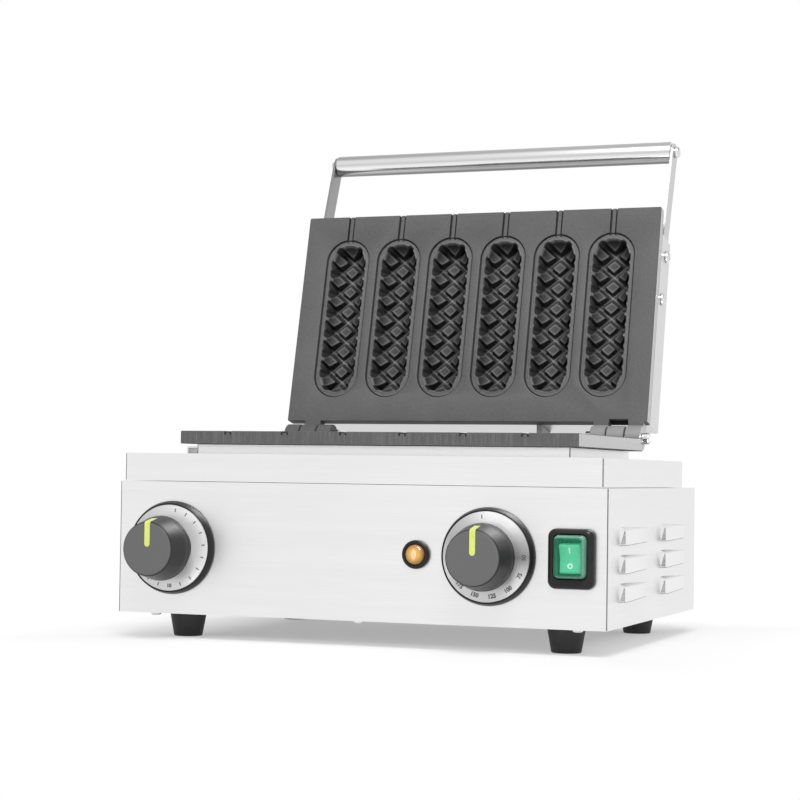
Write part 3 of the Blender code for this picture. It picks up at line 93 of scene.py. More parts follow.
# Mould plates
PLATE_HALF_WIDTH = 142.0
PLATE_NEAR = 12.35
PLATE_FAR = 178.75
PLATE_FACE = 0.15
PLATE_BACK = 9.05
BLOCK_BACK = 18.5
BLOCK_WIDE = 248.4
BLOCK_LONG = 125.9
MOULD_PITCH = 42.4
MOULD_MIDDLE = 95.5
MOULD_COUNT = 6
RECESS_RADIUS = 18.0
RECESS_STRAIGHT = 46.0
RECESS_DEPTH = 1.5
BED_RADIUS = 13.0
BED_STRAIGHT = 46.6
BED_DEPTH = 10.0
TROUGH_RADIUS = 14.6
TROUGH_DEPTH = 13.4
CHANNEL_END = 2.2
CHANNEL_STEP = 16.26
CHANNEL_SIDE_STEP = 19.1
CHANNEL_HALF = 2.9
CHANNEL_COUNT = 7
CHANNEL_WALL = 1.1
CHANNEL_CROWN = 1.3
RIDGE_HIGH = 1.1
RIDGE_HALF = 0.85
BEAD_HIGH = 0.4
BEAD_HALF = 0.5
BORDER_DEPTH = 0.7
BORDER_WIDE = 0.9
MOULD_BLEND = 0.4
STICK_HALF = 2.65
STICK_DEPTH = 1.1
SLOT_WIDE = 1.0
SLOT_DEPTH = 2.6
NOTCH_LEFT = -127.9
NOTCH_RIGHT = -113.6
NOTCH_REACH = 2.5
NOTCH_DEPTH = 7.6
SHADE_GAP = 0.6
BARREL_RADIUS = 9.2
BORE_RADIUS = 3.3
KNUCKLES = ((-139.5, -128.2), (-113.3, -102.0), (114.35, 127.15))
PLAIN_FACE_LEVEL = 0.335

# Worked out from them
CHANNEL_SLOPE = CHANNEL_STEP / CHANNEL_SIDE_STEP
CHANNEL_LEAN = 1 / math.hypot(1, CHANNEL_SLOPE)
CHANNEL_MIDDLES = [(k - (CHANNEL_COUNT - 1) / 2) * CHANNEL_STEP for k in range(CHANNEL_COUNT)]
MOULD_PLACES = [(k - (MOULD_COUNT - 1) / 2) * MOULD_PITCH for k in range(MOULD_COUNT)]
GROOVE_START = 2 - MOULD_MIDDLE - RECESS_STRAIGHT - RECESS_RADIUS


# Finishes


class Value:
    """A number on a shader socket; sums and products with it add Math nodes."""

    def __init__(self, finish, socket):
        self.finish = finish
        self.socket = socket

    def math(self, operation, first, second=0.0):
        node = self.finish.node("ShaderNodeMath", {"operation": operation}, {0: first, 1: second})
        return Value(self.finish, node.outputs[0])

    def __add__(self, other):
        return self.math("ADD", self, other)

    __radd__ = __add__

    def __sub__(self, other):
        return self.math("SUBTRACT", self, other)

    def __rsub__(self, other):
        return self.math("SUBTRACT", other, self)

    def __mul__(self, other):
        return self.math("MULTIPLY", self, other)

    __rmul__ = __mul__

    def __truediv__(self, other):
        return self.math("DIVIDE", self, other)

    def __rtruediv__(self, other):
        return self.math("DIVIDE", other, self)

    def above(self, limit):
        return self.math("GREATER_THAN", self, limit)

    def size(self):
        return self.math("ABSOLUTE", self)

    def root(self):
        return self.math("SQRT", self)

    def angle_to(self, other):
        return self.math("ARCTAN2", self, other)

    def at_least(self, other):
        return self.math("MAXIMUM", self, other)

    def between(self, low, high):
        """0 below the first limit, 1 above the second, and a straight ramp between them."""
        node = self.finish.node("ShaderNodeMapRange", {"clamp": True}, {0: self, 1: low, 2: high})
        return Value(self.finish, node.outputs[0])


class Nodes:
    """Adds nodes to one material or world."""

    def __init__(self, tree):
        self.tree = tree

    def node(self, kind, settings=None, sockets=None):
        made = self.tree.nodes.new(kind)
        for key, value in (settings or {}).items():
            if key == "stops":
                self.ramp(made.color_ramp, value)
            else:
                setattr(made, key, value)
        for key, value in (sockets or {}).items():
            self.feed(made.inputs[key], value)
        return made

    def ramp(self, ramp, stops):
        """Set a ramp to grey levels at places from 0 to 1."""
        while len(ramp.elements) < len(stops):
            ramp.elements.new(0.5)
        for element, (place, level) in zip(ramp.elements, stops):
            element.position = place
            element.color = grey(level)

    def feed(self, socket, value):
        if isinstance(value, Value):
            value = value.socket
        if isinstance(value, bpy.types.NodeSocket):
            self.tree.links.new(value, socket)
        else:
            socket.default_value = value

    def find(self, kind):
        return next(node for node in self.tree.nodes if node.type == kind)

    def split(self, vector):
        node = self.node("ShaderNodeSeparateXYZ", {}, {0: vector})
        return [Value(self, output) for output in node.outputs]

    def seen(self):
        """1 for what the camera sees straight, and 1 for what a mirror or a clear piece shows."""
        path = self.node("ShaderNodeLightPath")
        names = ("Is Camera Ray", "Is Glossy Ray", "Is Transmission Ray")
        straight, mirrored, through = [Value(self, path.outputs[name]) for name in names]
        return straight, mirrored.at_least(through)


class Finish(Nodes):
    """One material: its Principled shader and the nodes that vary it over the surface."""

    def __init__(self, name, **constants):
        self.material = bpy.data.materials.new(name)
        self.material.use_nodes = True
        super().__init__(self.material.node_tree)
        self.shader = self.find("BSDF_PRINCIPLED")
        for key, value in constants.items():
            self.on(key.replace("_", " ").title().replace("Ior", "IOR"), value)
        place = self.node("ShaderNodeTexCoord")
        self.place = place.outputs["Object"]
        self.x, self.y, self.z = self.split(self.place)
        self.facing = self.split(place.outputs["Normal"])

    def vector(self, x, y, z):
        return self.node("ShaderNodeCombineXYZ", {}, {0: x, 1: y, 2: z}).outputs[0]

    def noise(self, scale, vector=None, detail=2.0):
        sockets = {"Vector": vector or self.place, "Scale": scale, "Detail": detail}
        node = self.node("ShaderNodeTexNoise", {}, sockets)
        return Value(self, node.outputs[0])

    def cells(self, scale):
        node = self.node("ShaderNodeTexVoronoi", {}, {"Vector": self.place, "Scale": scale})
        return Value(self, node.outputs["Distance"])

    def mix(self, factor, first, second):
        node = self.node("ShaderNodeMix", {"data_type": "RGBA"}, {0: factor, 6: first, 7: second})
        return node.outputs[2]

    def on(self, socket, value):
        """Feed one of the shader's own sockets."""
        self.feed(self.shader.inputs[socket], value)

    def surface(self, colour, roughness, height, depth, strength):
        """Feed the colour, the roughness and a bump, and give the material."""
        self.on("Base Color", colour)
        self.on("Roughness", roughness)
        sockets = {"Strength": strength, "Distance": depth * MM, "Height": height}
        self.on("Normal", self.node("ShaderNodeBump", {}, sockets).outputs[0])
        return self.material


def grey(level):
    return (level, level, level, 1.0)


def brushed_sheet(name, dark, light, left_painted_shade=1.0):
    """Stainless sheet with a fine straight grain; a painted shade under 1 makes its left part
    darker.
    """
    finish = Finish(name, metallic=1.0)
    flat = finish.facing[2].size().above(0.7)
    along = finish.x + finish.y
    across = finish.z + finish.y * flat
    fine = finish.noise(1.0, finish.vector(along * 22.0, across * 2600.0, flat), 3.0)
    broad = finish.noise(1.0, finish.vector(along * 3.0, across * 120.0, flat), 2.0)
    cloud = finish.noise(9.0, detail=1.0)
    grain = fine * 0.5 + broad * 0.3 + cloud * 0.2
    tone = grain.between(0.3, 0.7)
    bright = finish.mix(tone, grey(dark), grey(light))
    # Painted shade: left of the middle the sheet's tones are darker copies.
    if left_painted_shade < 1.0:
        painted_shaded = finish.mix(tone, grey(dark * left_painted_shade), grey(light * left_painted_shade))
        bright = finish.mix(finish.x.between(-0.1, 0.1), painted_shaded, bright)
    return finish.surface(bright, 0.27 + grain * 0.16, fine, 0.02, 0.35)


# Grey levels of the tube's painted reflection, in bands from facing down at 0 to facing up at 1
TUBE_PAINTED_REFLECTION = (
    (0.0, 0.12), (0.04, 0.20), (0.09, 0.44), (0.15, 0.64), (0.20, 0.72), (0.235, 0.84),
    (0.28, 0.94), (0.35, 0.88), (0.405, 0.78), (0.475, 0.60), (0.525, 0.68), (0.60, 1.0),
    (0.70, 1.0), (0.775, 0.55), (0.835, 0.42), (0.90, 0.54), (0.975, 0.72), (1.0, 0.80),
)


def polished_tube():
    """Polished tube: a painted reflection of broad light and dark bands round its section, and long
    faint draw lines.
    """
    finish = Finish("handle_steel", metallic=1.0)
    drawn = finish.vector(finish.x * 6.0, finish.y * 900.0, finish.z * 900.0)
    lines = finish.noise(1.0, drawn)
    turn = finish.facing[2] * 0.5 + 0.5 + (lines - 0.5) * 0.015
    painted_reflection = finish.node("ShaderNodeValToRGB", {"stops": TUBE_PAINTED_REFLECTION}, {0: turn})
    return finish.surface(painted_reflection.outputs[0], 0.16 + lines * 0.10, lines, 0.012, 0.3)


def cast_iron():
    """Matt coated casting: milled side edges, sawn front edge, lighter knuckles at the right hinge,
    and painted highlights and painted shade from the stored levels.
    """
    finish = Finish("cast_plate")
    tooth = finish.noise(1900.0)
    specks = finish.noise(700.0, detail=1.0)
    cloud = finish.noise(26.0)
    side_edge, front_edge, right_hinge, knuckle_reach = [
        length * MM for length in (134.5, 90.0, 100.0, 10.0)]
    side = finish.facing[0].size().above(0.97) * finish.x.size().above(side_edge)
    mill = finish.noise(1.0, finish.vector(finish.y * 1400.0, finish.z * 30.0, 0.0))
    front = (0.0 - finish.facing[1]).above(0.99) * (0.0 - finish.y).above(front_edge)
    saw = finish.noise(1.0, finish.vector(finish.x * 1300.0, 0.0, finish.z * 40.0), 3.0)
    tone = tooth * 0.35 + specks * 0.35 + cloud * 0.3 + ((saw - 0.5) * 1.3 - 0.08) * front
    tone = tone.between(0.35, 0.65)
    # The stored levels mix a painted shade tone of the coating with a painted lit tone.
    wear = finish.node("ShaderNodeAttribute", {"attribute_name": "wear"}).outputs["Fac"]
    deep = finish.mix(tone, grey(0.005), grey(0.011))
    painted_lit = finish.mix(tone, grey(0.200), grey(0.310))
    dark = finish.mix(wear, deep, painted_lit)
    bright = finish.mix(mill, grey(0.52), grey(0.63))
    # Only the right hinge's knuckles, near the hinge axis, are lighter.
    behind = finish.y - HINGE_Y * MM
    above = finish.z - HINGE_Z * MM
    inward = knuckle_reach - (behind * behind + above * above).root()
    right_knuckles = inward.above(0.0) * finish.x.above(right_hinge)
    finish.on("Metallic", side * 0.9)
    colour = finish.mix(side.at_least(right_knuckles * 0.34), dark, bright)
    roughness = 0.58 + specks * 0.16 - side.at_least(right_knuckles) * 0.2
    return finish.surface(colour, roughness, tooth * 0.6 + specks * 0.4, 0.05, 0.35)


def plain_finish(name, dark, light, scale, roughness, depth, constants):
    """A finish with a fine mottled tone, an uneven gloss and a shallow tooth."""
    finish = Finish(name, **constants)
    fine = finish.noise(scale)
    broad = finish.noise(scale / 14.0, detail=1.0)
    tone = fine * 0.6 + broad * 0.4
    colour = finish.mix(tone.between(0.35, 0.65), dark, light)
    return finish.surface(colour, roughness + (fine - 0.5) * 0.12, fine, depth, 0.4)


def knob_finish():
    """Soft black knob: a matt greyer face and a glossier side, darker by painted shade."""
    finish = Finish("knob_plastic", specular_ior_level=0.3)
    fine = finish.noise(1700.0)
    face = (0.0 - finish.facing[1]).between(0.80, 0.97)
    light = finish.mix(fine, grey(0.112), grey(0.136))
    # The side's darker copy of the plastic is painted shade.
    side = finish.mix(fine, grey(0.016), grey(0.024))
    colour = finish.mix(face, side, light)
    return finish.surface(colour, 0.30 + face * 0.24 + fine * 0.06, fine, 0.03, 0.4)


def lit_green():
    """The rocker: green plastic with a faint painted glow."""
    finish = Finish("green_rocker", emission_strength=0.30)
    cloud = finish.noise(240.0)
    green = finish.mix(cloud, (0.10, 0.56, 0.31, 1.0), (0.15, 0.66, 0.39, 1.0))
    finish.on("Emission Color", green)
    return finish.surface(green, 0.30 + cloud * 0.08, finish.noise(900.0), 0.02, 0.3)


def scale_steel(dial, centre_x, painted_sheen):
    """Dial ring turned on a lathe: circular grain, with a painted sheen that varies round the dial.
    """
    finish = Finish(dial + "_scale_metal", metallic=0.45)
    across = finish.x - centre_x * MM
    up = finish.z - DIAL_Z * MM
    radius = (across * across + up * up).root()
    turn = up.angle_to(across) / math.tau + 0.5
    rings = finish.noise(1.0, finish.vector(radius * 5200.0, turn * 2.2, 0.0))
    tone = finish.node("ShaderNodeValToRGB", {"stops": painted_sheen}, {0: turn})
    colour = finish.mix(rings * 0.12, tone.outputs[0], grey(0.6))
    return finish.surface(colour, 0.36 + rings * 0.10, rings, 0.02, 0.3)


# Grey levels of each ring's painted sheen: from the left by the bottom to the right, and over the
# top
TIMER_PAINTED_SHEEN = (
    (0.0, 0.62), (0.15, 0.84), (0.25, 0.86), (0.34, 0.94), (0.42, 0.98), (0.50, 1.0),
    (0.57, 1.0), (0.655, 1.0), (0.74, 0.80), (0.84, 0.62), (0.92, 0.52), (1.0, 0.62),
)
THERMOSTAT_PAINTED_SHEEN = (
    (0.0, 0.54), (0.055, 0.70), (0.15, 0.82), (0.25, 0.76), (0.34, 0.80), (0.42, 0.74),
    (0.50, 0.28), (0.56, 0.52), (0.64, 1.0), (0.74, 1.0), (0.84, 0.56), (0.92, 0.42), (1.0, 0.54),
)


def amber():
    """Lamp lens: amber with moulded facets and painted glints on them, a brown rim and the pale
    upright bulb behind it.
    """
    finish = Finish("amber_lens", coat_weight=0.4, coat_roughness=0.06, emission_strength=0.10)
    across = finish.x - LAMP_X * MM
    up = finish.z - DIAL_Z * MM
    radius = (across * across + up * up).root()
    facets = finish.cells(900.0)
    stretched = (across * across * 4.5 + up * up).root()
    bulb = 1.0 - stretched.between(2.6 * MM, 4.0 * MM)
    hollow = 1.0 - stretched.between(0.6 * MM, 1.8 * MM)
    bright = (bulb - hollow * 0.55) * (0.75 + (up / MM).between(-2.0, 3.0) * 0.25)
    rim = radius.between(2.8 * MM, 6.0 * MM)
    body = finish.mix(rim, (0.68, 0.36, 0.045, 1.0), (0.24, 0.10, 0.025, 1.0))
    glint = facets.between(0.2, 0.9) * (0.5 - rim * 0.3)
    patch = finish.mix(glint, body, (0.75, 0.44, 0.12, 1.0))
    lit = finish.mix(bright * 0.8, patch, (0.88, 0.68, 0.52, 1.0))
    finish.on("Emission Color", lit)
    return finish.surface(lit, 0.16 + facets * 0.1, facets, 0.20, 0.5)


def green_clear():
    """Clear green boot over the rocker; its side walls are more opaque, and paler as painted
    highlight.
    """
    finish = Finish("green_boot", coat_weight=0.4, coat_roughness=0.06, specular_ior_level=0.3)
    cloud = finish.noise(160.0)
    front = finish.facing[1].size().between(0.45, 0.97)
    # The side walls' paler grey-green is painted highlight.
    deep = finish.mix(cloud, (0.16, 0.36, 0.27, 1.0), (0.22, 0.46, 0.34, 1.0))
    finish.on("Alpha", 0.80 - front * 0.64)
    colour = finish.mix(front, deep, (0.03, 0.42, 0.22, 1.0))
    return finish.surface(colour, 0.12 + cloud * 0.10, cloud, 0.06, 0.3)


def wool():
    """Ceramic wool pad."""
    finish = Finish("white_wool", sheen_weight=0.3)
    stretched = finish.vector(finish.x * 900.0, finish.y * 260.0, finish.z * 900.0)
    strands = finish.noise(1.0, stretched, 4.0)
    colour = finish.mix(strands, (0.62, 0.60, 0.55, 1.0), (0.88, 0.86, 0.82, 1.0))
    return finish.surface(colour, 0.9 + strands * 0.08, strands, 0.35, 0.8)


FINISHES = {
    "steel_sheet": brushed_sheet("brushed_steel", 0.81, 0.89),
    "cover_sheet": brushed_sheet("cover_steel", 0.66, 0.74),
    # The left arm carries painted shade.
    "arm_sheet": brushed_sheet("arm_steel", 0.56, 0.66, 0.52),
    # The hoods are the casing's sheet made a little lighter as painted light.
    "hood_sheet_painted_light": brushed_sheet("hood_steel_painted_light", 0.84, 0.92),
    "handle_steel": polished_tube(),
    "cast_plate": cast_iron(),
    "knob_plastic": knob_finish(),
    "timer_scale_metal": scale_steel("timer", TIMER_X, TIMER_PAINTED_SHEEN),
    "thermostat_scale_metal": scale_steel("thermostat", THERMOSTAT_X, THERMOSTAT_PAINTED_SHEEN),
    "amber_lens": amber(),
    "green_boot": green_clear(),
    "green_rocker": lit_green(),
    "white_wool": wool(),
}

# Dark tone, light tone, size of the mottle, roughness, depth of the tooth and constants
PLAIN_FINISHES = {
    "dark_steel": (grey(0.20), grey(0.32), 900.0, 0.42, 0.04, {"metallic": 1.0}),
    "zinc_screw": (grey(0.66), grey(0.84), 1500.0, 0.24, 0.02, {"metallic": 1.0}),
    "black_plastic": (grey(0.008), grey(0.014), 1600.0, 0.30, 0.03, {"specular_ior_level": 0.30}),
    "pointer_paint": ((0.58, 0.63, 0.13, 1.0), (0.68, 0.73, 0.18, 1.0), 900.0, 0.42, 0.03, {}),
    "black_rubber": (grey(0.018), grey(0.032), 1300.0, 0.62, 0.06, {}),
    "grey_plastic": (grey(0.34), grey(0.42), 900.0, 0.48, 0.04, {}),
    # The rocker's white marks, with a painted glow.
    "white_print_painted_glow": (grey(0.80), grey(0.88), 900.0, 0.5, 0.01, {
        "emission_color": (0.9, 1.0, 0.95, 1.0), "emission_strength": 0.4}),
    "dark_print": (grey(0.08), grey(0.11), 900.0, 0.5, 0.01, {}),
    "seam_shadow": (grey(0.06), grey(0.10), 900.0, 0.6, 0.02, {}),
    "mouth_shadow": (grey(0.22), grey(0.40), 900.0, 0.6, 0.02, {}),
}
for finish_name, values in PLAIN_FINISHES.items():
    FINISHES[finish_name] = plain_finish(finish_name, *values)


# Mesh helpers


def linked(name, data):
    """A new object in the scene."""
    made = bpy.data.objects.new(name, data)
    bpy.context.scene.collection.objects.link(made)
    return made


def shaped(piece):
    """The mesh that an object comes to; the object itself goes."""
    result = piece.evaluated_get(bpy.context.evaluated_depsgraph_get())
    mesh = bpy.data.meshes.new_from_object(result)
    bpy.data.objects.remove(piece, do_unlink=True)
    return mesh


def object_from(name, mesh, finish, body, replaced=(), crease=38.0):
    """Name, finish and fasten a piece."""
    for polygon in mesh.polygons:
        polygon.use_smooth = True
    mesh.set_sharp_from_angle(angle=math.radians(crease))
    piece = linked(name, mesh)
    mesh.materials.clear()
    mesh.materials.append(FINISHES[finish])
    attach(piece, body)
    if replaced:
        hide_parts(*replaced)


def mesh_of(name, vertices, faces, matrix=Matrix()):
    """A mesh from millimetre points, turned outward and placed by a matrix."""
    mesh = bpy.data.meshes.new(name)
    mesh.from_pydata([matrix @ Vector(point) * MM for point in vertices], [], faces)
    bm = bmesh.new()
    bm.from_mesh(mesh)
    bmesh.ops.recalc_face_normals(bm, faces=bm.faces)
    bm.to_mesh(mesh)
    bm.free()
    return mesh


def merged(name, meshes):
    """One mesh of several."""
    bm = bmesh.new()
    for mesh in meshes:
        bm.from_mesh(mesh)
    whole = bpy.data.meshes.new(name)
    bm.to_mesh(whole)
    bm.free()
    return whole


def skin(rows, closed=True):
    """Faces between rows of point numbers; a number that repeats in a face counts once."""
    faces = []
    for low, high in zip(rows, rows[1:]):
        for i in range(len(low) if closed else len(low) - 1):
            j = (i + 1) % len(low)
            face = list(dict.fromkeys((low[i], low[j], high[j], high[i])))
            if len(face) > 2:
                faces.append(face)
    return faces


def lathe(profile, steps):
    """Points and faces of a profile of (radius, height) turned about Z."""
    vertices = []
    rows = []
    for radius, height in profile:
        turns = steps if radius else 1
        rows.append([len(vertices) + i % turns for i in range(steps)])
        for i in range(turns):
            angle = math.tau * i / steps
            vertices.append((radius * math.cos(angle), radius * math.sin(angle), height))
    if profile[0][0]:
        rows.append(rows[0])
    return vertices, skin(rows)


def arc(centre_radius, centre_height, radius, start, end, steps):
    """Profile points on an arc, with angles from the outward direction towards the height."""
    points = []
    for i in range(steps + 1):
        angle = math.radians(start + (end - start) * i / steps)
        out, up = radius * math.cos(angle), radius * math.sin(angle)
        points.append((centre_radius + out, centre_height + up))
    return points


def loft(loops):
    """Points and faces of a solid through loops of equal count, closed at both ends."""
    count = len(loops[0])
    vertices = [point for loop in loops for point in loop]
    rows = [list(range(low, low + count)) for low in range(0, len(vertices), count)]
    return vertices, [rows[0], rows[-1]] + skin(rows)


def rounded(width, height, corner, steps=6):
    """A rectangle outline with round corners."""
    outline = []
    for quarter, (side_x, side_y) in enumerate(((1, 1), (-1, 1), (-1, -1), (1, -1))):
        middle_x, middle_y = side_x * (width / 2 - corner), side_y * (height / 2 - corner)
        outline += arc(middle_x, middle_y, corner, 90 * quarter, 90 * quarter + 90, steps)
    return outline


def slab(outline, low, high, edge):
    """A centred outline carried between two heights with small bevels on its rims."""
    wide, long = [max(places) for places in zip(*outline)]
    loops = []
    for inset, level in ((edge, low), (0, low + edge), (0, high - edge), (edge, high)):
        narrow, short = 1 - inset / wide, 1 - inset / long
        loops.append([(x * narrow, y * short, level) for x, y in outline])
    return loft(loops)


def flat_loop(low_x, low_y, high_x, high_y, level):
    return [(low_x, low_y, level), (high_x, low_y, level),
            (high_x, high_y, level), (low_x, high_y, level)]


def cuboid(low, high):
    return loft([flat_loop(*low[:2], *high[:2], level) for level in (low[2], high[2])])


def cut(solid, name, shape, matrix=Matrix(), operation="DIFFERENCE"):
    """Cut a shape out of a mesh, or combine the two by another operation."""
    first, second = linked("first", solid), linked("second", mesh_of(name, *shape, matrix))
    step = first.modifiers.new("step", "BOOLEAN")
    step.operation = operation
    step.solver = "MANIFOLD"
    step.object = second
    result = shaped(first)
    bpy.data.objects.remove(second, do_unlink=True)
    return result


def joined(solid, name, shape, matrix=Matrix()):
    return cut(solid, name, shape, matrix, "UNION")


def turned_to(place, angle, axis):
    """Turns a shape about an axis and moves it to a place."""
    return Matrix.Translation(place) @ Matrix.Rotation(angle, 4, axis)


def panel(x, z=DIAL_Z):
    """Turns a shape drawn along Z so that it points out of the control panel."""
    return turned_to((x, PANEL_Y, z), math.pi / 2, "X")


def sideways(x, y, z, side):
    """Turns a shape drawn along Z so that it points to the left or right."""
    return turned_to((x, y, z), side * math.pi / 2, "Y")


# The base's plate lies on the hinge axis with its face up; the lid's is the same casting,
# turned over.
ON_BASE = Matrix.Translation((0, HINGE_Y, HINGE_Z))
ON_LID = ON_BASE @ Matrix.Rotation(math.radians(-90 - LID_LEAN), 4, "X")
OVER = ON_LID @ Matrix.Rotation(math.pi, 4, "Y")


def lid_point(x, up, deep):
    """A place on the lid from its height above the hinge and its depth behind the plate's face."""
    return ON_LID @ Vector((x, -up, deep))


# Mould plates


def clamp(value, low, high):
    return max(low, min(high, value))


def soft_min(a, b, blend):
    """The lesser of two with a soft corner."""
    share = clamp(0.5 + 0.5 * (b - a) / blend, 0, 1)
    return b + (a - b) * share - blend * share * (1 - share)


def from_line(x, v, straight):
    """Distance from the middle line of a slot with round ends, which is straight to each side."""
    return math.hypot(x, max(abs(v) - straight, 0))


def channel_gaps(x, v):
    """Distances to the nearest channel of either diagonal."""
    gaps = []
    for slope in (-CHANNEL_SLOPE, CHANNEL_SLOPE):
        gaps.append(min(abs(v - middle - slope * x) * CHANNEL_LEAN for middle in CHANNEL_MIDDLES))
    return gaps


def mould_depth(x, v):
    """Depth of the waffle mould under its recess at a point from the mould's middle."""
    reach = from_line(x, v, BED_STRAIGHT)
    nearest = min(channel_gaps(x, v))
    bed = BED_DEPTH * math.sqrt(max(1 - (reach / BED_RADIUS) ** 2, 0))
    crown = CHANNEL_CROWN * min((nearest / CHANNEL_HALF) ** 2, 2)
    trough = clamp((TROUGH_RADIUS - crown - reach) / CHANNEL_END, 0, 1) * TROUGH_DEPTH
    ridge = RIDGE_HIGH * math.exp(-(nearest / RIDGE_HALF) ** 2)
    opening = clamp((CHANNEL_HALF + 0.2 - nearest) / CHANNEL_WALL, 0, 1)
    channel = soft_min(max(trough - ridge, 0), opening * (TROUGH_DEPTH + 1), MOULD_BLEND)
    edge = BED_RADIUS + (TROUGH_RADIUS - BED_RADIUS) * opening + 0.45
    bead = BEAD_HIGH * math.exp(-((reach - edge) / BEAD_HALF) ** 2)
    border = from_line(x, v, RECESS_STRAIGHT) - RECESS_RADIUS
    groove = BORDER_DEPTH * clamp((border + BORDER_WIDE) / 0.5, 0, 1)
    return max(-soft_min(-bed, -channel, MOULD_BLEND), 0) - bead + groove


def mould_cutter():
    """A closed solid whose underside is one waffle mould and its recess."""
    ends, steps, columns = 40, 210, 84
    turns = [math.pi / 2 * i / ends for i in range(1, ends)]
    round_end = [-RECESS_STRAIGHT - RECESS_RADIUS * math.cos(turn) for turn in turns]
    straight = [-RECESS_STRAIGHT + 2 * RECESS_STRAIGHT * i / steps for i in range(steps + 1)]
    stations = round_end + straight + [-v for v in reversed(round_end)]
    vertices = []

    def add(x, v, depth):
        vertices.append((x, v, -depth))
        return len(vertices) - 1

    grid = []
    for v in stations:
        half = math.sqrt(max(RECESS_RADIUS ** 2 - max(abs(v) - RECESS_STRAIGHT, 0) ** 2, 0))
        row = [half * (2 * j / columns - 1) for j in range(columns + 1)]
        grid.append([add(x, v, RECESS_DEPTH + mould_depth(x, v)) for x in row])
    tip = RECESS_STRAIGHT + RECESS_RADIUS
    first, last = add(0, -tip, RECESS_DEPTH), add(0, tip, RECESS_DEPTH)
    border = [first] + [row[-1] for row in grid] + [last] + [row[0] for row in reversed(grid)]
    rings = [border]
    for spread, height in ((0.0, -0.35), (0.1, -0.1), (0.35, 0.0), (0.35, 3.0)):
        ring = []
        for index in border:
            x, v, _ = vertices[index]
            reach = from_line(x, v, RECESS_STRAIGHT)
            out = (reach + spread) / reach
            middle = math.copysign(min(abs(v), RECESS_STRAIGHT), v)
            ring.append(add(x * out, middle + (v - middle) * out, -height))
        rings.append(ring)
    rows = [[first] * (columns + 1), *grid, [last] * (columns + 1)]
    return vertices, skin(rows, False) + skin(rings) + [rings[-1][::-1]]


def stick_groove():
    """A stick's groove with a slot along either side, out past the plate's far edge."""
    section = [
        (-STICK_HALF - 0.5, 0.5), (-STICK_HALF, -0.1), (0.1 - STICK_HALF, -SLOT_DEPTH),
        (0.1 + SLOT_WIDE - STICK_HALF, -SLOT_DEPTH), (0.4 + SLOT_WIDE - STICK_HALF, -STICK_DEPTH)]
    section += [(-x, z) for x, z in reversed(section)]
    edge = PLATE_FAR + GROOVE_START
    stations = (0, edge - SHADE_GAP, edge + 2)
    return loft([[(x, -along, z) for x, z in section] for along in stations])


def plate_mesh():
    """The casting that both plates share, drawn about the hinge axis with its face up."""
    outline = rounded(2 * PLATE_HALF_WIDTH, PLATE_FAR - PLATE_NEAR, 1.2)
    place = Matrix.Translation((0, -(PLATE_NEAR + PLATE_FAR) / 2, 0))
    solid = mesh_of("plate", *slab(outline, -PLATE_BACK, -PLATE_FACE, 0.4), place)
    block = slab(rounded(BLOCK_WIDE, BLOCK_LONG, 12.0, 10), -BLOCK_BACK, -PLATE_BACK + 1, 0.8)
    solid = joined(solid, "block", block, Matrix.Translation((0, -MOULD_MIDDLE, 0)))
    bevel = 0.5
    for left, right in KNUCKLES:
        wide = right - left
        knuckle = lathe([
            (0, 0), (BARREL_RADIUS - bevel, 0), (BARREL_RADIUS, bevel),
            (BARREL_RADIUS, wide - bevel), (BARREL_RADIUS - bevel, wide), (0, wide)], 48)
        solid = joined(solid, "knuckle", knuckle, sideways(left, 0, 0, 1))
        web = cuboid((left, -PLATE_NEAR - 1, -BARREL_RADIUS + 0.3), (right, 0, -PLATE_FACE))
        solid = joined(solid, "web", web)
    mouth = [(NOTCH_LEFT, 1), (NOTCH_LEFT, -NOTCH_DEPTH),
             (NOTCH_RIGHT, -NOTCH_DEPTH), (NOTCH_RIGHT, 1)]
    stations = (PLATE_NEAR - 1, PLATE_NEAR + SHADE_GAP, PLATE_NEAR + NOTCH_REACH)
    solid = cut(solid, "relief", loft([[(x, -along, z) for x, z in mouth] for along in stations]))
    bore = lathe([(0, 0), (BORE_RADIUS, 0), (BORE_RADIUS, 300), (0, 300)], 32)
    solid = cut(solid, "hole", bore, sideways(-150, 0, 0, 1))
    mould = mould_cutter()
    groove = stick_groove()
    for x in MOULD_PLACES:
        solid = cut(solid, "mould", mould, Matrix.Translation((x, -MOULD_MIDDLE, -PLATE_FACE)))
        solid = cut(solid, "groove", groove, Matrix.Translation((x, GROOVE_START, -PLATE_FACE)))
    return solid


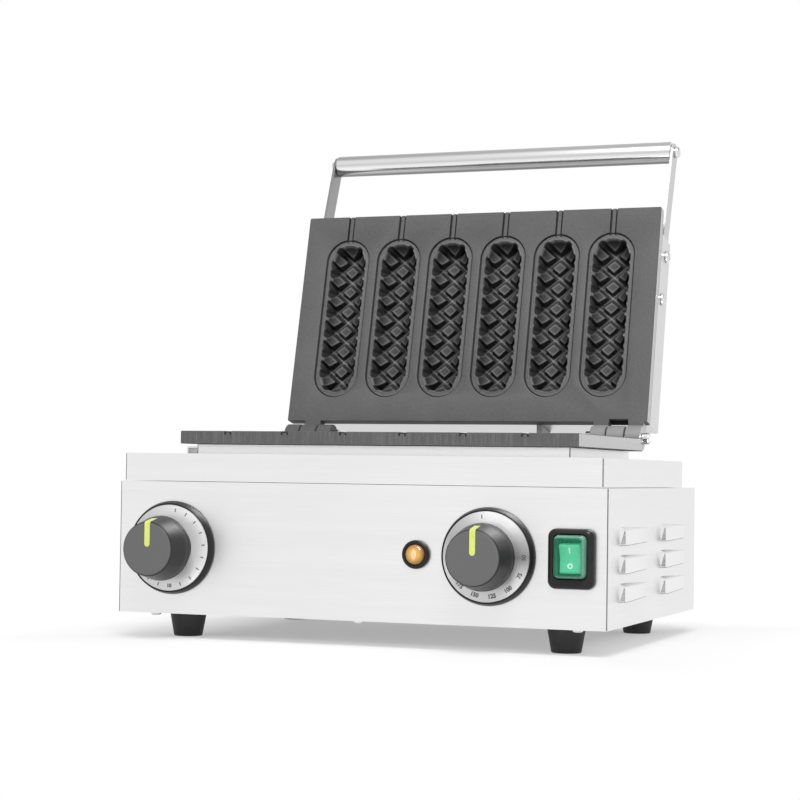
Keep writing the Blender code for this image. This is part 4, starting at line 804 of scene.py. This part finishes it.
def wear_level(x, y, z):
    """Tone of the casting at a point, from 0 for painted shade to 1 for a painted highlight."""
    near = 0.1
    # Painted shade in the relief notch behind the hinge.
    across = NOTCH_LEFT - near < x < NOTCH_RIGHT + near
    along = -PLATE_NEAR - NOTCH_REACH - near < y < -PLATE_NEAR - SHADE_GAP / 2
    if across and along and -NOTCH_DEPTH - near < z < -1.0:
        return 0.0
    v = y + MOULD_MIDDLE
    x -= min(MOULD_PLACES, key=lambda place: abs(x - place))
    # Painted shade in the slots beside each stick groove.
    along = SHADE_GAP / 2 - PLATE_FAR < y < -MOULD_MIDDLE - RECESS_STRAIGHT - RECESS_RADIUS / 2
    if abs(x) < STICK_HALF and along and SLOT_DEPTH - 0.2 < -z < SLOT_DEPTH + 0.4:
        return 0.0
    depth = -z - PLATE_FACE - RECESS_DEPTH
    # Painted shade in the groove round the recess.
    border = from_line(x, v, RECESS_STRAIGHT) - RECESS_RADIUS
    if -BORDER_WIDE < border < 0.2 and 0.1 < depth < 1.2:
        return 0.06
    reach = from_line(x, v, BED_STRAIGHT)
    if depth < -0.7 or depth > TROUGH_DEPTH + 0.5 or reach > TROUGH_RADIUS + 2:
        return PLAIN_FACE_LEVEL
    falling, rising = channel_gaps(x, v)
    nearest = min(falling, rising)
    outward = clamp(reach / BED_RADIUS, 0, 1)
    # Painted highlights on the ridges, brighter on one diagonal, and on the pad edges; painted
    # shade on the outer pads and deeper down.
    ridge = 1.1 * math.exp(-(falling / 0.8) ** 2) + 0.6 * math.exp(-(rising / 0.8) ** 2)
    floor_level = 0.05 + (1.0 - 0.8 * outward) * min(ridge, 1.1)
    edge_highlight = 0.55 * math.exp(-((nearest - CHANNEL_HALF - 0.5) / 0.45) ** 2)
    pad_level = 0.19 - 0.17 * outward + edge_highlight * (1.0 - 0.6 * outward)
    share = clamp((nearest - CHANNEL_HALF + 0.7) / 0.8, 0, 1)
    level = floor_level + (pad_level - floor_level) * share
    level *= 1 - 0.35 * clamp(depth / TROUGH_DEPTH, 0, 1)
    # Painted highlights on the recess rim and on the bed's teeth.
    rim = clamp(1 - abs(depth + 0.1) / 0.7, 0, 1)
    level += (0.50 - level) * rim
    tooth = math.exp(-((reach - BED_RADIUS) / 0.5) ** 2)
    tooth *= clamp((nearest - CHANNEL_HALF) / 0.5, 0, 1)
    return max(level, 0.95 * tooth)


def add_wear(mesh):
    """Store painted highlights on ridges, pad edges and rims, and painted shade on channel floors,
    grooves, slots and notch.
    """
    levels = [wear_level(*(vertex.co / MM)) for vertex in mesh.vertices]
    wear = mesh.attributes.new("wear", "FLOAT", "POINT")
    wear.data.foreach_set("value", levels)
    return mesh


def placed(mesh, matrix):
    """A copy of a metre mesh moved by a millimetre matrix."""
    copy = mesh.copy()
    shift = matrix.copy()
    shift.translation = matrix.translation * MM
    copy.transform(shift)
    return copy


def mould_plates():
    shared = add_wear(plate_mesh())
    for name, body, matrix in (("lower", "base", ON_BASE), ("upper", "lid", OVER)):
        casting = placed(shared, matrix)
        object_from(name + "_casting", casting, "cast_plate", body, (name + "_plate",), 32.0)


# Dials


def knob_radius(height):
    """Radius of the knob's tapered side at a height above its back."""
    share = clamp((height - KNOB_FOOT) / (KNOB_LENGTH - KNOB_FOOT), 0, 1)
    return KNOB_RADIUS + (KNOB_TOP_RADIUS - KNOB_RADIUS) * share


def knob_shapes():
    """The knob, and the painted line laid over its face and down its side."""
    top, shoulder, side_end = KNOB_LENGTH, KNOB_LENGTH - KNOB_ROUND, KNOB_LENGTH - 2.2
    rim = knob_radius(shoulder) - KNOB_ROUND
    profile = [(0, 15.3), (3.3, 15.3), (3.3, 0.0), (20.9, 0.0),
               (21.35, 0.2), (21.5, 0.6), (21.5, 1.9), (21.2, 2.7)]
    profile += [(knob_radius(height), height) for height in (3.2, 7.0, 11.0, 15.0, side_end)]
    profile += arc(rim, shoulder, KNOB_ROUND, 8, 90, 8)
    profile += [(rim - 1.2, top), (0, top)]
    path = []
    for i in range(5):
        path.append((LINE_START + LINE_HALF * (1 - math.cos(math.pi / 2 * i / 4)), top, 0.0))
    for angle in range(90, 0, -15):
        out, up = math.cos(math.radians(angle)), math.sin(math.radians(angle))
        path.append((rim + KNOB_ROUND * out, shoulder + KNOB_ROUND * up, out))
    for height in (side_end, 15.0, 10.6):
        path.append((knob_radius(height), height, 1.0))
    loops = []
    for radius, height, side in path:
        along = clamp(radius - LINE_START, 0, LINE_HALF)
        half = max(math.sqrt(max(LINE_HALF ** 2 - (LINE_HALF - along) ** 2, 0)), 0.25)
        face = math.sqrt(max(1 - side * side, 0))
        high = (radius + 0.12 * side, height + 0.12 * face)
        low = (radius - 0.4 * side, height - 0.4 * face)
        loops.append([(-half, *low), (half, *low), (half, *high), (-half, *high)])
    return lathe(profile, 128), loft(loops)


def round_the_dial(x, radius, clockwise):
    """A place on the scale with its up direction pointing outward."""
    turn = Matrix.Rotation(-math.radians(clockwise), 4, "Z")
    return panel(x) @ turn @ Matrix.Translation((0, radius, SCALE_FACE))


def number_mesh(number, size, x, radius, clockwise):
    """A raised number in the plain built-in letters, with its top towards the dial's middle."""
    curve = bpy.data.curves.new("print", "FONT")
    curve.body = str(number)
    curve.size = size
    curve.align_x = curve.align_y = "CENTER"
    curve.extrude = 0.03
    curve.offset = 0.17
    curve.resolution_u = 3
    mesh = shaped(linked("print", curve))
    place = round_the_dial(x, radius, clockwise) @ Matrix.Rotation(math.pi, 4, "Z")
    mesh.transform(Matrix.Scale(MM, 4) @ place)
    return mesh


def tick(x, clockwise, width, long):
    bar = cuboid((-width / 2, -long / 2, -0.02), (width / 2, long / 2, 0.05))
    return mesh_of("tick", *bar, round_the_dial(x, MARK_RADIUS, clockwise))


def dial_prints():
    """Marks round the timer and temperatures round the thermostat."""
    marks = [tick(THERMOSTAT_X, -6.7, 0.6, 2.6)]
    for i in range(8):
        place = (THERMOSTAT_X, NUMBER_RADIUS, 90.0 + 26.7 * i)
        marks.append(number_mesh(50 + 25 * i, 3.7, *place))
    object_from("thermostat_numbers", merged("numbers", marks), "dark_print", "base")
    marks = []
    for i in range(17):
        angle = 10.0 + 18.7 * i
        if i == 9:
            marks.append(number_mesh(10, 3.4, TIMER_X, MARK_RADIUS, angle))
        else:
            marks.append(tick(TIMER_X, angle, 0.7, 2.4))
    object_from("timer_marks", merged("marks", marks), "dark_print", "base")


def dials():
    knob, line = knob_shapes()
    bezel = lathe([
        (5.3, 0.3), (30.9, 0.3), (31.2, 0.6), (31.2, 1.2), (31.0, 1.9), (29.75, 5.4),
        (29.55, 5.7), (29.3, 5.8), (29.1, 5.75), (29.0, 5.6), (29.0, 4.3), (16.2, 4.3),
        (16.2, 5.7), (16.0, 5.8), (5.3, 5.8)], 144)
    ring = lathe([
        (16.5, 4.6), (28.7, 4.6), (28.7, 5.3), (28.6, 5.4), (16.6, 5.4), (16.5, 5.3)], 144)
    places = (("timer", TIMER_X, TIMER_STANDOFF), ("thermostat", THERMOSTAT_X, THERMOSTAT_STANDOFF))
    for dial, x, standoff in places:
        turning = panel(x) @ Matrix.Translation((0, 0, standoff))
        for label, node, shape, place, finish, body in (
                ("grip", "knob", knob, turning, "knob_plastic", dial + "_dial"),
                ("line", "pointer", line, turning, "pointer_paint", dial + "_dial"),
                ("surround", "bezel", bezel, panel(x), "black_plastic", "base"),
                ("ring", "scale", ring, panel(x), dial + "_scale_metal", "base")):
            mesh = mesh_of(node, *shape, place)
            object_from("%s_%s" % (dial, label), mesh, finish, body, ("%s_%s" % (dial, node),))
    dial_prints()


# Lamp and switch


def lamp():
    profile = [(0, -22.0), (7.9, -22.0), (7.9, 0.3), (8.9, 0.3), (9.2, 0.6), (9.2, 1.7)]
    profile += arc(8.2, 1.9, 1.0, 0, 60, 4)
    profile += [(7.6, 3.1), (7.0, 3.1), (6.8, 2.6), (6.7, 0.7), (0, 0.7)]
    collar = mesh_of("lamp", *lathe(profile, 64), panel(LAMP_X))
    object_from("lamp_collar", collar, "black_plastic", "base", ("lamp_bezel",))
    radius, level, dome, facets = 6.4, 3.0, 2.5, 8
    profile = [(0, 0.9), (radius - 0.1, 0.9), (radius, 1.0), (radius, level)]
    for i in range(1, facets + 1):
        angle = math.pi / 2 * i / facets
        out = radius * math.cos(angle) if i < facets else 0
        profile.append((out, level + dome * math.sin(angle) + (0.08 if i % 2 else 0)))
    lens = mesh_of("lens", *lathe(profile, 64), panel(LAMP_X))
    object_from("lamp_window", lens, "amber_lens", "base", ("lamp_lens",), 50.0)


def ring_shape(width, height, corner, levels):
    """A solid through rounded rectangles at (inset, level) steps."""
    loops = []
    for inset, level in levels:
        outline = rounded(width - 2 * inset, height - 2 * inset, max(corner - inset, 0.4), 8)
        loops.append([(x, y, level) for x, y in outline])
    return loft(loops)


def switch_frame():
    outer = ring_shape(30.2, 37.8, 5.2, [
        (0.3, 0.3), (0.0, 0.6), (0.1, 3.0), (0.5, 4.2), (1.3, 5.2), (2.1, 5.65), (2.6, 5.8)])
    window = ring_shape(21.2, 27.6, 3.3, [(0.0, -0.5), (0.0, 4.9), (-0.5, 5.6), (-0.9, 6.5)])
    solid = mesh_of("frame", *outer, panel(SWITCH_X))
    solid = cut(solid, "window", window, panel(SWITCH_X, BOOT_Z))
    object_from("switch_surround", solid, "black_plastic", "base", ("switch_frame",))


def switch_boot():
    """The hollow clear boot over the rocker."""
    outer = ring_shape(*BOOT_SIZE, [
        (0.0, 0.3), (0.0, 6.0), (0.15, 6.6), (0.7, 9.4), (1.2, 10.5), (1.9, 11.05), (3.0, 11.2)])
    inside = ring_shape(*BOOT_SIZE, [(0.9, -0.7), (0.9, 6.0), (1.6, 9.2), (2.2, 10.0), (3.0, 10.3)])
    solid = mesh_of("boot", *outer, panel(SWITCH_X, BOOT_Z))
    solid = cut(solid, "inside", inside, panel(SWITCH_X, BOOT_Z))
    object_from("switch_cap", solid, "green_boot", "base", ("switch_boot",))


def key_level(across):
    """Height of the rocker's hollow face at a distance from its middle."""
    return KEY_HOLLOW + KEY_RISE * (abs(across) / KEY_HALF) ** 1.6


def switch_rocker():
    """The rocker under the boot with its I and O marks."""
    outline = [(-6.0, -4.0), (6.0, -4.0), (8.6, 1.5), (9.3, 8.4), (9.0, 9.5), (8.4, 9.9)]
    for i in range(9):
        across = KEY_HALF - 2 * KEY_HALF * i / 8
        outline.append((across, key_level(across)))
    outline += [(-8.4, 9.9), (-9.0, 9.5), (-9.3, 8.4), (-8.6, 1.5)]
    loops = []
    for x, share in ((-6.6, 0.97), (-6.2, 1.0), (6.2, 1.0), (6.6, 0.97)):
        loops.append([(x, y * share, z * share) for y, z in outline])
    place = turned_to((SWITCH_X, PANEL_Y + 3.0, BOOT_Z), math.radians(ROCKER_LEAN), "X")
    key = mesh_of("rocker", *loft(loops), place)
    object_from("rocker_key", key, "green_rocker", "rocker", ("switch_rocker",))
    bar = cuboid((-0.38, -1.9, -0.3), (0.38, 1.9, 0.12))
    ring = lathe([(0.95, -0.3), (1.65, -0.3), (1.65, 0.12), (0.95, 0.12)], 40)
    marks = []
    for shape, y, lean in ((bar, 5.4, 16.0), (ring, -4.5, -14.0)):
        spot = turned_to((0, y, key_level(y) + 0.06), math.radians(lean), "X")
        marks.append(mesh_of("mark", *shape, place @ spot))
    object_from("rocker_marks", merged("marks", marks), "white_print_painted_glow", "rocker")


# Feet, handle, pins and screws


def feet():
    profile = [(0, 0.9), (5.0, 0.9), (5.4, 0.3), (6.0, 0.0), (9.2, 0.0)]
    profile += arc(8.9, 0.9, 0.9, -60, 0, 3)
    profile += [(11.2, 8.5), (12.45, 15.6), (12.4, 16.2), (12.0, 16.7), (3.2, 16.7)]
    profile += [(3.2, 18.6), (4.8, 20.2), (4.6, 22.0), (2.4, 26.0), (0, 26.0)]
    for side_name, side in SIDES:
        for end_name, y in FOOT_ENDS:
            label = "_%s_%s" % (end_name, side_name)
            place = Matrix.Translation((side * FOOT_X, y + PANEL_Y, 0))
            mesh = mesh_of("foot", *lathe(profile, 64), place)
            object_from("rubber_foot" + label, mesh, "black_rubber", "base", ("foot" + label,))


def screw_mesh(radius, height, shank):
    """A pan-head screw drawn along Z from its seat, with a cross recess."""
    crown = height * 0.7
    profile = [(0, -shank), (1.75, -shank), (1.75, 0), (radius, 0), (radius, height * 0.3)]
    profile += arc(radius - crown, height * 0.3, crown, 10, 80, 6)
    profile += [(0, height)]
    head = mesh_of("screw", *lathe(profile, 40))
    long, thin = radius * 0.55, 0.45
    for wide, deep, foot_wide, foot_deep in (
            (long, thin, long / 2, thin), (thin, long, thin, long / 2)):
        slot = loft([
            flat_loop(-foot_wide, -foot_deep, foot_wide, foot_deep, height * 0.35),
            flat_loop(-wide, -deep, wide, deep, height + 1)])
        head = cut(head, "slot", slot)
    return head


def handle():
    """The tube, and the domed head and cap nut on its rod."""
    x, y, z = lid_point(0, HANDLE_UP, HANDLE_DEEP)
    radius, bore, wall, long = 8.3, 2.5, 3.0, 2 * HANDLE_HALF
    profile = [
        (bore, 0), (7.6, 0), (8.15, 0.35), (radius, 0.9), (radius, long - 0.9),
        (8.15, long - 0.35), (7.6, long), (bore, long),
        (bore, long - wall), (7.1, long - wall), (7.1, wall), (bore, wall)]
    tube = mesh_of("tube", *lathe(profile, 96), sideways(-HANDLE_HALF, y, z, 1))
    object_from("handle_bar", tube, "handle_steel", "lid", ("handle_tube",))
    rod = placed(screw_mesh(4.4, 3.4, 2 * ROD_HALF + 1.2), sideways(-ROD_HALF, y, z, -1))
    object_from("handle_bolt", rod, "zinc_screw", "lid", ("handle_rod",))
    profile = [(2.5, 0), (4.4, 0), (4.4, 1.0)]
    profile += arc(2.2, 1.2, 2.2, 0, 90, 8) + [(0, 3.4), (0, 1.6), (2.5, 1.6)]
    nut = mesh_of("nut", *lathe(profile, 48), sideways(ROD_HALF, y, z, 1))
    object_from("handle_cap", nut, "zinc_screw", "lid", ("handle_nut",))


def arm_screws():
    head = screw_mesh(4.5, 2.6, 5.5)
    lean = math.radians(ARM_LEAN)
    for name, along in ARM_SCREWS:
        up = ARM_FOOT[0] + along * math.cos(lean)
        deep = ARM_FOOT[1] + along * math.sin(lean)
        for side_name, side in SIDES:
            mesh = placed(head, sideways(*lid_point(side * ARM_X, up, deep), side))
            label = "_%s_%s" % (name, side_name)
            object_from("side_screw" + label, mesh, "zinc_screw", "lid", ("arm_screw" + label,))


def hinge_pins():
    profile = [(0, 0), (2.7, 0), (3.0, 0.3), (3.0, 42.8), (4.0, 42.8), (4.2, 43.0), (4.2, 46.8)]
    profile += arc(3.2, 47.1, 1.0, 0, 90, 6) + [(2.2, 48.1), (2.0, 47.3), (0, 47.3)]
    for name, side in SIDES:
        mesh = mesh_of("pin", *lathe(profile, 48), sideways(side * PIN_X, HINGE_Y, HINGE_Z, side))
        object_from("hinge_bolt_" + name, mesh, "zinc_screw", "base", ("hinge_pin_" + name,))


def small_screws():
    """Screws of the bottom sheet and of the bracket's foot."""
    head = screw_mesh(3.6, 2.2, 2.0)
    places = [(x, y) for y in (12.0, 234.0) for x in (-148.0, 0.0, 148.0)]
    places += [(-157.0, 126.5), (157.0, 126.5)]
    for number, (x, y) in enumerate(places):
        mesh = placed(head, turned_to((x, y + PANEL_Y, BOTTOM_Z), math.pi, "X"))
        object_from("bottom_screw_%d" % number, mesh, "zinc_screw", "base")
    for number, y in enumerate((92.0, 102.6)):
        mesh = placed(head, Matrix.Translation((BRACKET_X, y, BRACKET_Z)))
        object_from("bracket_screw_%d" % number, mesh, "zinc_screw", "base")


# Seams and louvres


def seams():
    """Dark joints where the folded sheets of the casing, deck and collar meet at their corners."""
    corners = (
        (WALL_X, PANEL_Y, 17.3, 105.2), (166.7, PANEL_Y, 106.2, 124.0),
        (133.5, -95.195, 124.9, 130.9))
    out, sunk, near, far, wide = 0.04, 0.1, 0.05, 0.5, 0.7
    meshes = []
    for corner_x, y, low, high in corners:
        for side in (1, -1):
            x = side * corner_x
            for low_corner, high_corner in (
                    ((x - side * sunk, y + sunk, low), (x + side * out, y + sunk + wide, high)),
                    ((x - side * far, y - out, low), (x - side * near, y + sunk, high))):
                meshes.append(mesh_of("seam", *cuboid(low_corner, high_corner)))
    object_from("corner_seams", merged("seams", meshes), "seam_shadow", "base")


def wall_section(y, level, side, corners):
    """A loop of (out, up) corners on a side wall, at one place along it."""
    return [(side * (WALL_X + out), y, level + up) for out, up in corners]


def louvre_hood(front, level, side):
    """One pressed hood: a sloped top, a sharp lower lip, and sinking to the wall at its rear."""
    loops = []
    for along, out, half in (
            (-LOUVRE_LEAD, 3.6, 5.0), (0.3 - LOUVRE_LEAD, 3.68, 5.0),
            (0.3, 3.68, 5.0), (LOUVRE_LONG, 0.12, 4.6)):
        crown = half + out * 0.4
        loops.append(wall_section(front + PANEL_Y + along, level, side, [
            (0.0, -half), (out, -half), (out, half - 0.6), (out * 0.9, half - 0.2),
            (0.0, crown), (-0.6, crown), (-0.6, -half)]))
    return mesh_of("hood", *loft(loops))


def louvre_mouth(front, level, side):
    """A dark sheet for the shade in the slanting opening at the front end of one hood, and a
    painted shadow strip along its lower edge.
    """
    start = front + PANEL_Y - LOUVRE_LEAD
    opening = [(0.25, -4.6), (3.45, -4.6), (3.45, 3.4), (2.7, 4.1)]
    ahead = [(0.05, -5.4), (3.5, -5.4), (3.5, -4.9), (0.05, -4.9)]
    behind = [(0.02, -4.9), (0.10, -4.9), (0.10, -4.5), (0.02, -4.5)]
    parts = []
    for name, sections in (
            ("mouth", ((-0.06, opening), (0.2, opening))),
            ("lip_shadow", ((0.4, ahead), (LOUVRE_LEAD, ahead), (LOUVRE_LEAD + LOUVRE_LONG - 2, behind)))):
        loops = [wall_section(start + along, level, side, corners) for along, corners in sections]
        parts.append(mesh_of(name, *loft(loops)))
    return merged("mouth", parts)


def louvres():
    places = [
        (front, level, side) for front in LOUVRE_FRONTS for level in LOUVRE_LEVELS
        for name, side in SIDES]
    hoods = merged("hoods", [louvre_hood(*place) for place in places])
    object_from("louvre_hoods", hoods, "hood_sheet_painted_light", "base", (), 25.0)
    mouths = merged("mouths", [louvre_mouth(*place) for place in places])
    object_from("louvre_mouths", mouths, "mouth_shadow", "base")


# CAD pieces that keep their shape


KEPT = {
    "steel_sheet": ("base_casing", "bottom_plate", "deck_tray", "collar", "reflector_tray"),
    "cover_sheet": ("lid_cover",),
    "arm_sheet": ("arm_left", "arm_right"),
    "dark_steel": (
        "stop_bracket", "lower_heater", "upper_heater", "timer_works", "thermostat_works",
        "timer_shaft", "thermostat_shaft", "thermostat_bulb"),
    "zinc_screw": (
        "lower_clamp", "upper_clamp", "lower_bolt_left", "lower_bolt_right",
        "upper_bolt_left", "upper_bolt_right", "hinge_nut_left", "hinge_nut_right"),
    "white_wool": ("lower_pad", "upper_pad"),
    "black_plastic": ("switch_body",),
    "black_rubber": ("mains_gland", "lead_gland", "lid_gland"),
    "grey_plastic": ("terminal_block",),
}


def kept_pieces():
    for finish, nodes in KEPT.items():
        for name in nodes:
            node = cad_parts[name]
            node.data.materials.clear()
            node.data.materials.append(FINISHES[finish])
            edge = node.modifiers.new("edge", "BEVEL")
            edge.width = 0.35 * MM
            edge.segments = 2
            edge.limit_method = "ANGLE"
            edge.angle_limit = math.radians(40)


# Floor, light and camera, in metres


FLOOR_HALF = 9.0
KEY_PLACE = (0.75, -1.9, 2.45)
KEY_TARGET = (0, 0, 0.2)
KEY_SIZE = 1.2
KEY_POWER = 92.0
CAMERA_PLACE = (0.49305, -1.358155, 0.11253)
CAMERA_TURNS = (0.3614, 0.0365, 0.0142)
CAMERA_LENS = 91.24


def floor():
    """A pale floor that keeps the shadow and turns to plain white further out."""
    finish = Finish("studio_floor", specular_ior_level=0.2)
    cloud = finish.noise(3.0, detail=1.0)
    finish.on("Base Color", finish.mix(cloud, grey(0.80), grey(0.82)))
    finish.on("Roughness", 0.75 + cloud * 0.1)
    straight, mirrored = finish.seen()
    away = (finish.x.size() - 0.17).at_least(finish.y.size() - 0.135).between(-0.05, 0.08)
    white = finish.node("ShaderNodeEmission")
    blend = finish.node("ShaderNodeMixShader", {}, {
        0: straight.at_least(mirrored) * (0.27 + away * 0.73),
        1: finish.shader.outputs[0],
        2: white.outputs[0],
    })
    finish.feed(finish.find("OUTPUT_MATERIAL").inputs["Surface"], blend.outputs[0])
    mesh = bpy.data.meshes.new("floor")
    corners = flat_loop(-FLOOR_HALF, -FLOOR_HALF, FLOOR_HALF, FLOOR_HALF, 0)
    mesh.from_pydata(corners, [], [(0, 1, 2, 3)])
    mesh.materials.append(finish.material)
    ground = linked("floor", mesh)


def light_and_world():
    """A soft key lamp high ahead to the right; a white room, greyer in a band above eye height."""
    key = bpy.data.lights.new("key", "AREA")
    key.size = KEY_SIZE
    key.energy = KEY_POWER
    made = linked("key", key)
    made.location = KEY_PLACE
    toward = Vector(KEY_TARGET) - Vector(KEY_PLACE)
    made.rotation_euler = toward.to_track_quat("-Z", "Y").to_euler()
    world = bpy.data.worlds.new("studio")
    world.use_nodes = True
    bpy.context.scene.world = world
    room = Nodes(world.node_tree)
    back = room.find("BACKGROUND")
    height = room.split(room.node("ShaderNodeTexCoord").outputs["Generated"])[2]
    band = height.between(0.22, 0.45) * (1.0 - height.between(0.80, 0.95))
    straight, mirrored = room.seen()
    plain = 1.0 - straight.at_least(mirrored)
    level = straight + mirrored * (1.0 - band * 0.30) + plain * 0.34
    room.feed(back.inputs["Color"], (1, 1, 1, 1))
    room.feed(back.inputs["Strength"], level)


def camera():
    """The view solved from the corners of casing, plates and handle."""
    data = bpy.data.cameras.new("camera")
    data.sensor_width = 36.0
    data.lens = CAMERA_LENS
    data.clip_start = 0.05
    yaw, pitch, roll = CAMERA_TURNS
    made = linked("camera", data)
    tilt = Matrix.Rotation(math.pi / 2 + pitch, 4, "X") @ Matrix.Rotation(roll, 4, "Z")
    made.matrix_world = turned_to(CAMERA_PLACE, yaw, "Z") @ tilt
    bpy.context.scene.camera = made


for step in (
        camera, kept_pieces, mould_plates, dials, lamp, switch_frame, switch_boot, switch_rocker,
        feet, handle, arm_screws, hinge_pins, small_screws, seams, louvres, floor,
        light_and_world):
    step()
bpy.context.scene.view_settings.view_transform = "Standard"
